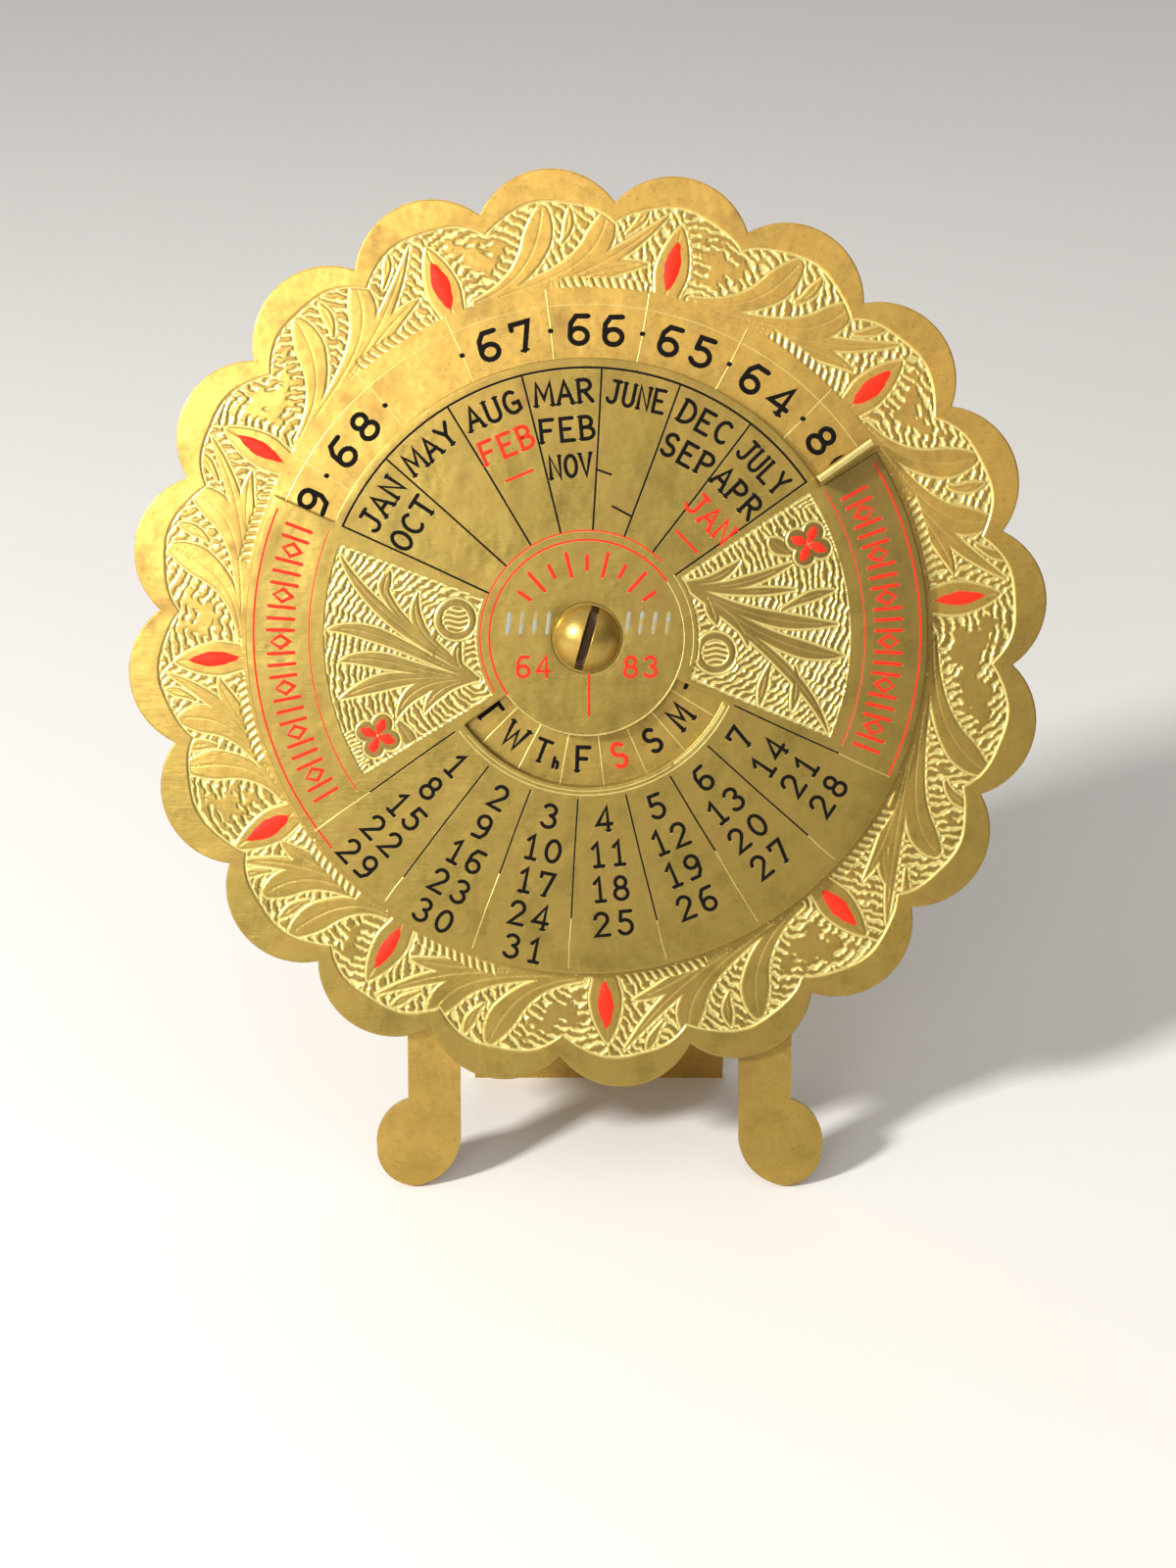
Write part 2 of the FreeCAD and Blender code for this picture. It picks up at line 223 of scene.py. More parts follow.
def brass_sheet(name, colours, tarnished, dirt_and_shade_colour):
    """Rolled sheet brass, its lacquer gone, tarnished unevenly.

    The eye sees warm yellow metal that greys to olive in clouds, with painted shade that makes it more olive
    towards the bottom, brown specks, fine rubbing scratches, and bare pale metal in the graver's cuts,
    lightened further by painted highlights, with painted shade and grime between them."""
    made, tree, shader = new_material(name)
    place = add(tree, "ShaderNodeTexCoord").outputs["Object"]
    clouds = noise(tree, place, 22.0, 3.0)
    height = add(tree, "ShaderNodeSeparateXYZ", {0: place}).outputs[2]
    # Painted shade: the brass turns more olive towards the bottom of each sheet. It is added into the
    # tarnish below, so the tarnish ramp carries painted shade as well as tarnish
    painted_low_shade = add(tree, "ShaderNodeMapRange", {0: height}, in_1=0.115, in_2=0.015).outputs[0]
    tarnish = maths(tree, "ADD", painted_low_shade, maths(tree, "MULTIPLY", clouds, 1.3))
    body = mix(tree, ramp(tree, tarnish, 0.6 - tarnished, 1.6 - tarnished), colours.golden, colours.olive)
    blotch = noise(tree, place, 5.0, 6.0, 0.62)
    body = mix(tree, ramp(tree, blotch, 0.52, 0.78), body, colours.brown)
    specks = noise(tree, place, 0.45, 2.0)
    body = mix(tree, maths(tree, "MULTIPLY", ramp(tree, specks, 0.58, 0.74), 0.45), body, colours.brown)
    # Darkened by grime in the slot and by painted shade between the cuts, on the tab's flanks and where the
    # tab's shadow falls
    dirt = add(tree, "ShaderNodeAttribute", attribute_name="dirt").outputs["Fac"]
    body = mix(tree, dirt, body, dirt_and_shade_colour)
    # Bare pale metal in the cuts, lightened further as a painted highlight, and painted highlights on burrs,
    # bare lines and along the tab's edge
    cut = add(tree, "ShaderNodeAttribute", attribute_name="cut").outputs["Fac"]
    colour = mix(tree, cut, body, colours.bright_cut)
    rough = add(tree, "ShaderNodeMapRange", {0: blotch}, in_1=0.3, in_2=0.7, in_3=colours.roughness - 0.1,
                in_4=colours.roughness + 0.12).outputs[0]
    grain = add(tree, "ShaderNodeMapping", {0: place}, in_Scale=(0.1, 1.0, 1.0)).outputs[0]
    scratches = noise(tree, grain, 0.3, 3.0, 0.7)
    waves = noise(tree, place, 6.0, 3.0)
    surface = maths(tree, "ADD", maths(tree, "MULTIPLY", scratches, 0.12), waves)
    bump = add(tree, "ShaderNodeBump", {"Height": surface}, in_Strength=0.8, in_Distance=0.00016)
    tree.links.new(colour, shader.inputs["Base Color"])
    tree.links.new(rough, shader.inputs["Roughness"])
    tree.links.new(bump.outputs[0], shader.inputs["Normal"])
    shader.inputs["Metallic"].default_value = 0.72
    return made


def fill_material(name, colour, worn, roughness, wear):
    """Coloured lac or enamel melted into the cuts and rubbed back, so that it is patchy."""
    made, tree, shader = new_material(name)
    place = add(tree, "ShaderNodeTexCoord").outputs["Object"]
    patches = noise(tree, place, 0.9, 5.0, 0.6)
    shade = mix(tree, ramp(tree, patches, wear, wear + 0.14), colour, worn)
    tree.links.new(shade, shader.inputs["Base Color"])
    bump = add(tree, "ShaderNodeBump", {"Height": patches}, in_Strength=0.3, in_Distance=0.00005)
    tree.links.new(bump.outputs[0], shader.inputs["Normal"])
    shader.inputs["Roughness"].default_value = roughness
    shader.inputs["Specular IOR Level"].default_value = 0.12
    return made


def soften(obj, width):
    """Sheared or turned edges, worn round."""
    bevel = obj.modifiers.new("worn edges", "BEVEL")
    bevel.width = width * MM
    bevel.segments = 2
    bevel.limit_method = "ANGLE"
    bevel.angle_limit = math.radians(40)


def put_on(obj, material, smooth=True):
    obj.data.materials.clear()
    obj.data.materials.append(material)
    if smooth:
        obj.data.shade_smooth()


def mesh_object(name, points, faces, transform=PLATE, cut=None, dirt=None):
    """A mesh from arrays of plate-frame points and of faces with the same number of corners.

    Where given, cut and dirt say at each point how bright and how dark the brass is, from 0 to 1: bare metal
    with painted highlights, and grime with painted shade."""
    points = np.asarray(points, dtype=np.float64)
    world = np.array(transform)
    placed = points @ world[:3, :3].T + world[:3, 3]
    mesh = bpy.data.meshes.new(name)
    faces = np.asarray(faces, dtype=np.int32)
    mesh.vertices.add(len(placed))
    mesh.vertices.foreach_set("co", placed.astype(np.float32).ravel())
    corners = faces.shape[1]
    mesh.loops.add(faces.size)
    mesh.loops.foreach_set("vertex_index", faces.ravel())
    mesh.polygons.add(len(faces))
    mesh.polygons.foreach_set("loop_start", np.arange(0, faces.size, corners, dtype=np.int32))
    for word, values in (("cut", cut), ("dirt", dirt)):
        if values is not None:
            layer = mesh.attributes.new(word, "FLOAT", "POINT")
            layer.data.foreach_set("value", np.asarray(values, dtype=np.float32).ravel())
    mesh.update(calc_edges=True)
    mesh.validate()
    obj = bpy.data.objects.new(name, mesh)
    bpy.context.scene.collection.objects.link(obj)
    return obj


def polar(radius, clock):
    """Plate-frame x and y at a radius and an angle in degrees clockwise from the top."""
    a = np.radians(clock)
    return radius * np.sin(a), radius * np.cos(a)


def grid_faces(rows, columns, keep=None):
    """Quads of a grid whose rows run outwards and columns clockwise, facing out of the plate."""
    i, j = np.meshgrid(np.arange(rows - 1), np.arange(columns - 1), indexing="ij")
    a = i * columns + j
    quads = np.stack([a, a + 1, a + columns + 1, a + columns], axis=-1)
    quads = quads[..., ::-1]
    if keep is not None:
        quads = quads[keep]
    return quads.reshape(-1, 4)


def grid_object(name, x, y, z, keep=None, **attributes):
    """A skin over a grid of plate-frame points."""
    points = np.stack([x, y, z], axis=-1).reshape(-1, 3)
    return mesh_object(name, points, grid_faces(*x.shape, keep=keep), **attributes)


def wobble(x, y, size):
    """Smooth hand-made unevenness between about -1 and 1, with features of that size."""
    k = 2 * math.pi / size
    return (np.sin(k * (0.83 * x + 0.41 * y) + 1.3) * np.sin(k * (-0.37 * x + 0.71 * y) + 0.4)
            + 0.6 * np.sin(k * 1.9 * (0.22 * x - 0.93 * y) + 2.1) * np.sin(k * 1.7 * (0.9 * x + 0.3 * y)))


def outline_radius(clock):
    """The scalloped edge: each scallop is one arc through its two notches and its tip."""
    pitch = 360.0 / SCALLOPS
    off = (np.asarray(clock) - FIRST_CREST + pitch / 2) % pitch - pitch / 2
    half = math.radians(pitch / 2)
    notch = (VALLEY_R * math.sin(half), VALLEY_R * math.cos(half))
    rise = CREST_R - notch[1]
    arc_r = (notch[0] ** 2 + rise ** 2) / (2 * rise)
    centre = CREST_R - arc_r
    a = np.radians(off)
    return centre * np.cos(a) + np.sqrt(arc_r ** 2 - (centre * np.sin(a)) ** 2)


class Leaf:
    """A smooth blade left standing by the graver, along a curve through three or four points."""

    def __init__(self, points, width, belly=0.55, tail=0.25, tip=0.8, root=None, root_left=None):
        points = np.array(points, dtype=float)
        self.root = points[0] if root is None else root
        self.root_left = self.root if root_left is None else root_left
        t = np.linspace(0, 1, 26)[:, None]
        if len(points) == 3:
            line = (1 - t) ** 2 * points[0] + 2 * t * (1 - t) * points[1] + t ** 2 * points[2]
        else:
            line = ((1 - t) ** 3 * points[0] + 3 * t * (1 - t) ** 2 * points[1]
                    + 3 * t ** 2 * (1 - t) * points[2] + t ** 3 * points[3])
        self.line = line
        s = t[:, 0]
        rise = np.clip(s / belly, 0, 1)
        fall = np.clip((1 - s) / (1 - belly), 0, 1)
        self.half = width / 2 * (tail + (1 - tail) * rise ** 1.2) * np.sin(fall * math.pi / 2) ** tip
        self.half[-1] = 0


def leaf_field(x, y, leaves, reach=3.4):
    """At each point: how far past the nearest leaf's edge, how far from that spray's root, and off its rib.

    Where no leaf is near, the second runs round the pivot, so that the rungs there point outwards."""
    edge = np.full(x.shape, 9.0)
    spread = np.arctan2(x, y) * 44.0
    rib = np.full(x.shape, 9.0)
    for leaf in leaves:
        low, high = leaf.line.min(0) - reach, leaf.line.max(0) + reach
        near = np.nonzero((x > low[0]) & (x < high[0]) & (y > low[1]) & (y < high[1]))
        if not len(near[0]):
            continue
        px, py = x[near], y[near]
        best = np.full(px.shape, 99.0)
        side = np.zeros(px.shape)
        off = np.zeros(px.shape)
        for k in range(len(leaf.line) - 1):
            a, b = leaf.line[k], leaf.line[k + 1]
            d = b - a
            length = max(float(np.hypot(*d)), 1e-9)
            s = np.clip(((px - a[0]) * d[0] + (py - a[1]) * d[1]) / length ** 2, 0, 1)
            gap = np.hypot(px - a[0] - s * d[0], py - a[1] - s * d[1])
            past = gap - (leaf.half[k] * (1 - s) + leaf.half[k + 1] * s)
            closer = past < best
            best[closer] = past[closer]
            side[closer] = ((px - a[0]) * d[1] - (py - a[1]) * d[0])[closer]
            off[closer] = gap[closer]
        right = np.hypot(px - leaf.root[0], py - leaf.root[1])
        left = np.hypot(px - leaf.root_left[0], py - leaf.root_left[1])
        from_root = np.where(side > 0, right, left)
        win = best < edge[near]
        rows = tuple(n[win] for n in near)
        edge[rows] = best[win]
        spread[rows] = from_root[win]
        rib[rows] = off[win]
    return edge, spread, rib


def groove(distance, width):
    """1 in the middle of a cut of that width, 0 at its edges."""
    return np.clip(1 - np.abs(distance) / (width / 2), 0, 1)


def engraved(x, y, leaves, pitch, leaf_darkening, from_frame=None):
    """The graver's work: how deep it went, 0 to 1, and how dark the metal is that it left standing.

    Each leaf has a cut round it and a fine vein. Between the leaves, rungs run round each spray's root.
    With from_frame, the distance from the field's frame, rungs stop short and leave bare patches between."""
    edge, spread, rib = leaf_field(x, y, leaves)
    outline = groove(edge - 0.15, 0.36)
    vein = 0.35 * groove(rib, 0.15) * (edge < -0.3)
    phase = spread / pitch + 0.2 * wobble(x, y, 3.6) + 0.12 * wobble(x + 5, y, 1.5)
    rung = np.clip((np.cos(2 * math.pi * phase) + 0.05) / 0.5, 0, 1)
    gap = np.clip((edge - 0.24) / 0.14, 0, 1)
    if from_frame is not None:
        stop = 1.9 + 0.8 * wobble(x, y + 3, 2.9)
        gap = gap * np.clip((stop - np.minimum(edge, from_frame)) / 0.35, 0, 1)
    deep = np.maximum(np.maximum(outline, vein), rung * gap)
    # Painted shade between the rungs; inside the leaves the metal is darkened by leaf_darkening
    dirt = np.where(edge < 0, leaf_darkening, 0.65 * gap * (1 - rung))
    return deep, dirt


def skin_height(deep, edge_distance):
    """Height of the skin: cuts go down into it, and it rounds off towards the sheet's edges."""
    rise = np.sqrt(np.clip(1 - (1 - np.clip(edge_distance / EDGE, 0, 1)) ** 2, 0, 1))
    return SKIN_LOW + (SKIN - SKIN_LOW) * rise * (1 - CUT_SHARE * deep)


def border_leaves():
    """Sprays that flow outwards and clockwise from each inlay to the next."""
    leaves = []
    count = len(MARQUISE_AT)
    roots = [np.array(polar(36.8, m + 5)) for m in MARQUISE_AT]
    for k, start in enumerate(MARQUISE_AT):
        gap = (MARQUISE_AT[(k + 1) % count] - start) % 360
        root = roots[k]
        usual = 36.0

        def leaf(places, width, belly=0.6, tail=0.25, tip=0.8):
            points = [polar(r, start + turn * gap / usual) for turn, r in places]
            leaves.append(Leaf(points, width, belly, tail, tip, root))

        # Pointed petal round the inlay, with the last spray's rungs on its left and its own on its right
        petal = [polar(r, start) for r in (36.6, 39.6, 44.9)]
        leaves.append(Leaf(petal, 3.5, 0.45, 0.6, 0.8, root, roots[k - 1]))
        # Two broad leaves that curl up into the scallops
        leaf([(4.0, 37.6), (11, 38.2), (15.5, 40.4), (16.8, 46.2)], 3.0, belly=0.76, tail=0.2, tip=0.6)
        leaf([(7.0, 37.5), (18, 38.4), (25, 40.0), (25.6, 45.3)], 2.9, belly=0.78, tail=0.2, tip=0.6)
        # Long blades that run on to the next inlay
        leaf([(9.0, 37.4), (21, 38.2), (28, 40.6), (34.0, 45.8)], 1.3, belly=0.55)
        leaf([(11.0, 37.2), (20, 37.7), (26, 39.9), (32.2, 40.3)], 1.6)
        # Short leaves in the scallops
        leaf([(19.0, 42.2), (20.3, 43.2), (20.4, 45.8)], 1.0)
        leaf([(28.5, 43.2), (30.2, 44.4), (31.2, 46.2)], 0.8)
        if gap > 44:
            leaf([(27.0, 39.6), (29.5, 40.2), (31.0, 43.0)], 1.1)
    return leaves


def border_band(clock):
    """Inner edge of the plain band that follows the scallops."""
    edge = outline_radius(clock)
    share = (edge - VALLEY_R) / (CREST_R - VALLEY_R)
    return edge - 2.3 - 1.2 * share + 0.12 * np.sin(np.radians(clock * 37))


def border_piece(number, pieces, leaves):
    """One stretch of the engraved border of the plate."""
    span = 360.0 / pieces
    clock = np.linspace(number * span, (number + 1) * span, int(span / 0.15) + 1)
    # Close steps at the end round the edge off
    close = 1 - np.array([0.0135, 0.010, 0.007, 0.004, 0.0])
    steps = np.concatenate([np.linspace(0, 1, 108)[:-1] * 0.985, close])
    outer = outline_radius(clock) - INSET
    radius = BORDER_R + steps[:, None] * (outer - BORDER_R)[None, :]
    angle = np.broadcast_to(clock, radius.shape)
    x, y = polar(radius, angle)
    band = border_band(angle)
    deep, dirt = engraved(x, y, leaves, pitch=0.95, leaf_darkening=0.0, from_frame=band - radius)
    # Slanted rungs in a row beside the dial, on the way to each inlay
    ahead = np.min([(m - angle) % 360 for m in MARQUISE_AT], axis=0)
    row = np.clip((38.5 - radius) / 0.15, 0, 1) * (ahead > 3.5) * (ahead < 17.5)
    rung = np.clip((np.cos(2 * math.pi * (angle * 0.74 + radius * 0.5)) + 0.1) / 0.5, 0, 1)
    deep = deep * (1 - row) + row * rung
    # Painted shade between the slanted rungs
    dirt = dirt * (1 - row) + row * 0.5 * (1 - rung)
    deep = np.maximum(deep, groove(radius - 38.55, 0.24) * (row > 0))
    # Plain band along the scallops
    inside = (radius < band - 0.1) & (radius > 37.45)
    deep = deep * inside
    dirt = dirt * inside * 0.6
    deep = np.maximum(deep, groove(radius - band, 0.4))
    z = skin_height(deep, outer[None, :] - radius)
    return grid_object("border_engraving_%d" % number, x, y, z, cut=deep, dirt=dirt)


def edge_steps(value, inward):
    """Grid values just inside an edge."""
    return [value + inward * d for d in EDGE_STEPS]


def plain_ring(name, r1, r2):
    """A smooth ring of skin, rounded at its inner edge, coarse because nothing is cut into it."""
    radii = np.array(sorted(set(np.linspace(r1, r2, 8)) | set(edge_steps(r1, 1))))
    clock = np.linspace(0, 360, 361)
    radius, angle = np.meshgrid(radii, clock, indexing="ij")
    x, y = polar(radius, angle)
    return grid_object(name, x, y, skin_height(0.0, radius - r1))


# Angles on the dial as photographed, from its own upright
ORNAMENT_RIGHT = (60.0 + 2.0, 120.0 - 2.2)
ORNAMENT_LEFT = (240.0 + 4.0, 300.0 - 3.6)
ORNAMENT_R1 = 11.9
ORNAMENT_R2 = 28.5
# How many degrees the tab's bend takes beside the notch, and about the middles of notch and window
TAB_ROOT = 2.6
NOTCH_MID_R = 33.0
DAY_MID_R = 13.5


def dial_skin():
    """The dial's smooth face, open at the year notch, the weekday window and the two engraved sectors."""
    hub = HEAD_R + 0.25
    rim = DIAL_R - INSET
    edges = edge_steps(hub, 1) + edge_steps(rim, -1)
    edges += edge_steps(NOTCH_R, -1) + edge_steps(DAY_R1, -1) + edge_steps(DAY_R2, 1)
    edges += [ORNAMENT_R1, ORNAMENT_R2]
    radii = np.array(sorted(set(np.round(edges + list(np.arange(5, 36.5, 1.1)), 4))))
    half = WINDOW / 2
    tab_side = half + TAB_ROOT
    turn = list(np.arange(0, 360, 1.0))
    sides = ((NOTCH_MID_R, -half, -1), (NOTCH_MID_R, tab_side, 1),
             (DAY_MID_R, 180 - half, -1), (DAY_MID_R, 180 + half, 1))
    for r, angle, away in sides:
        turn += [(angle + away * math.degrees(d / r)) % 360 for d in EDGE_STEPS]
    turn += [*ORNAMENT_RIGHT, *ORNAMENT_LEFT, half]
    turn = np.array(sorted(set(np.round(turn, 4))))
    clock = np.append(turn, 360.0)
    radius, angle = np.meshgrid(radii, clock, indexing="ij")
    x, y = polar(radius, angle + DIAL_TURN)

    def in_notch(r, a):
        return (r > NOTCH_R) & ((a < tab_side) | (a > 360 - half))

    def in_window(r, a):
        return (r > DAY_R1) & (r < DAY_R2) & (a > 180 - half) & (a < 180 + half)

    def in_ornament(r, a):
        right = (a > ORNAMENT_RIGHT[0]) & (a < ORNAMENT_RIGHT[1])
        left = (a > ORNAMENT_LEFT[0]) & (a < ORNAMENT_LEFT[1])
        return (r > ORNAMENT_R1) & (r < ORNAMENT_R2) & (right | left)

    def turn_gap(target):
        return np.abs((angle - target + 180) % 360 - 180) * math.pi / 180 * radius

    # How far each point is from the nearest of the face's own edges
    gap = np.minimum(rim - radius, radius - hub)
    notch_gap = np.where((angle <= tab_side) | (angle >= 360 - half), NOTCH_R - radius, 9.0)
    beside_notch = np.where(radius > NOTCH_R, np.minimum(turn_gap(tab_side), turn_gap(-half)), 9.0)
    inside = (angle >= 180 - half) & (angle <= 180 + half)
    past_window = np.where(radius < DAY_MID_R, DAY_R1 - radius, radius - DAY_R2)
    window_gap = np.where(inside, past_window, 9.0)
    between = (radius > DAY_R1) & (radius < DAY_R2)
    beside_window = np.where(between, np.minimum(turn_gap(180 - half), turn_gap(180 + half)), 9.0)
    for other in (notch_gap, beside_notch, window_gap, beside_window):
        gap = np.minimum(gap, np.where(other > -1e-3, np.abs(other), 9.0))
    z = skin_height(0.0, gap) + DIAL_FACE
    middles = np.meshgrid((radii[1:] + radii[:-1]) / 2, (clock[1:] + clock[:-1]) / 2, indexing="ij")
    keep = ~(in_notch(*middles) | in_window(*middles) | in_ornament(*middles))
    # Painted shadow of the tab, with some grime, in the right band, thickest by the tab
    away = np.clip((angle - tab_side) / 55, 0, 1)
    on_band = (angle > half) * (angle < 118) * np.clip((radius - 29.2) / 1.5, 0, 1)
    grime_and_shade = 0.75 * (1 - away) ** 0.8 * on_band
    return grid_object("dial_face", x, y, z, keep=keep, dirt=grime_and_shade)


def rooted(root, leaves):
    """The leaves with their rungs round one root."""
    for leaf in leaves:
        leaf.root = leaf.root_left = root
    return leaves


def right_fan():
    """Leaves that spring from the inner corner of the dial's right sector, in plate millimetres."""
    root = (10.2, 5.9)
    return rooted(root, [
        Leaf([root, (13.5, 6.0), (14.6, 6.6), (16.4, 8.3)], 0.9),
        Leaf([root, (14.5, 4.9), (18.0, 6.0), (22.3, 8.2)], 1.0),
        Leaf([root, (14.0, 4.6), (17.5, 5.0), (22.4, 5.2)], 0.7, belly=0.7),
        Leaf([(21.0, 3.0), (23.5, 4.6), (26.6, 5.1)], 0.9),
        Leaf([root, (15.0, 3.6), (18.5, 1.4), (27.0, 1.5)], 1.5, belly=0.7),
        Leaf([root, (15.5, 2.6), (20.5, -1.7), (27.6, -1.9)], 1.7, belly=0.75),
        Leaf([root, (16.5, 0.9), (23.5, -3.5), (26.1, -10.3)], 1.0, belly=0.6),
        Leaf([root, (14.6, 3.8), (17.2, 1.4), (17.3, -0.9)], 1.0),
        Leaf([(12.6, 4.9), (13.4, 3.8), (14.0, 1.4)], 1.3),
        Leaf([(19.8, -2.8), (19.0, -4.5), (18.6, -7.4)], 0.9),
        Leaf([(22.4, -3.2), (22.9, -5.2), (22.1, -7.9)], 0.9),
        Leaf([(21.9, 9.2), (20.8, 9.4), (19.6, 10.6)], 1.5, belly=0.6, tail=0.3),
    ])


def left_fan():
    """Leaves of the dial's left sector, in plate millimetres."""
    root = (-11.9, -4.4)
    return rooted(root, [
        Leaf([root, (-17.0, -1.0), (-24.0, 3.0), (-26.6, 9.0)], 1.2, belly=0.5),
        Leaf([root, (-16.0, -0.4), (-22.4, 2.0), (-21.9, 7.0)], 0.8, belly=0.75),
        Leaf([(-21.6, 4.0), (-22.3, 5.4), (-21.2, 7.2)], 1.2),
        Leaf([root, (-15.5, -1.2), (-19.8, 0.4), (-18.2, 5.0)], 1.1, belly=0.7),
        Leaf([root, (-18.0, -2.4), (-23.0, 1.8), (-28.0, 0.9)], 1.4, belly=0.65),
        Leaf([root, (-18.5, -4.0), (-22.5, -1.4), (-26.8, -2.5)], 1.5, belly=0.6),
        Leaf([root, (-18.0, -4.2), (-22.0, -4.0), (-26.8, -6.6)], 1.6, belly=0.65),
        Leaf([root, (-15.5, -4.6), (-19.4, -4.6), (-20.6, -8.6)], 1.5, belly=0.6),
        Leaf([root, (-14.4, -4.9), (-16.6, -5.2), (-17.6, -8.0)], 1.2, belly=0.6),
        Leaf([root, (-14.3, -3.4), (-14.6, -1.9), (-13.6, -0.2)], 1.0, belly=0.6),
        Leaf([(-16.6, -1.9), (-17.0, 0.4), (-15.8, 1.2)], 0.6),
        Leaf([(-20.4, -9.3), (-19.6, -10.4), (-18.6, -12.2)], 1.4, belly=0.5, tail=0.4),
    ])


def ornament_sector(name, bounds, leaves, rounds, reds):
    """One engraved sector of the dial with its round flower and its red flower."""
    start, end = bounds
    clock = np.linspace(start, end, int((end - start) / 0.2) + 1) + DIAL_TURN
    radii = np.linspace(ORNAMENT_R1, ORNAMENT_R2, 171)
    radius, angle = np.meshgrid(radii, clock, indexing="ij")
    x, y = polar(radius, angle)
    deep, dirt = engraved(x, y, leaves, pitch=0.72, leaf_darkening=0.5)
    # Round flower: a plain ring with a hatched eye
    off = np.hypot(x - rounds[0], y - rounds[1])
    eye = np.clip((np.cos(2 * math.pi * (y + 0.12 * np.sin(2.6 * x)) / 0.6) + 0.1) / 0.5, 0, 1)
    flower = np.maximum(groove(off - 2.3, 0.42), np.where(off < 1.35, eye, groove(off - 1.4, 0.3)))
    deep = np.where(off < 2.5, flower, deep)
    dirt = np.where(off < 2.5, 0.6, dirt)
    # Red flower: rounded cups for its petals
    cups = np.full(x.shape, 9.0)
    for k in range(PETALS):
        px, py = polar(1.35, PETAL_TURN + 360 / PETALS * k)
        cups = np.minimum(cups, np.hypot(x - reds[0] - px, y - reds[1] - py) - 1.05)
    deep = np.where(cups < 0.35, groove(cups - 0.15, 0.36), deep)
    dirt = np.where(cups < 0.0, 0.9, dirt)
    # Bright lines along the sector's own edges
    side = np.minimum(angle - clock[0], clock[-1] - angle) * math.pi / 180 * radius
    rim = np.minimum(radius - ORNAMENT_R1, ORNAMENT_R2 - radius)
    uneven = np.clip(0.9 + 0.5 * wobble(x, y, 2.9), 0.2, 1)
    deep = np.maximum(deep, groove(side - 0.24, 0.44) * uneven)
    deep = np.maximum(deep, groove(rim - 0.2, 0.3) * 0.5 * uneven)
    fade = np.clip(np.minimum(side, rim) / 0.12, 0, 1)
    deep = deep * fade
    z = SKIN_LOW + (SKIN - SKIN_LOW) * (1 - CUT_SHARE * deep) + DIAL_FACE
    return grid_object(name, x, y, z, cut=deep, dirt=dirt * fade)


def ellipse(cx, cy, rx, ry, a0=0.0, a1=360.0, n=16):
    """Points along an ellipse or, between two angles, along part of it."""
    t = np.radians(np.linspace(a0, a1, n + 1))
    return [(cx + rx * math.cos(v), cy + ry * math.sin(v)) for v in t]


def bowl(top, cx, cy, rx, ry, foot, n=7):
    """The round part of a B, D, P or R, from its stem and back to it."""
    return [(0.06, top)] + ellipse(cx, cy, rx, ry, 90, -90, n) + [(0.06, foot)]


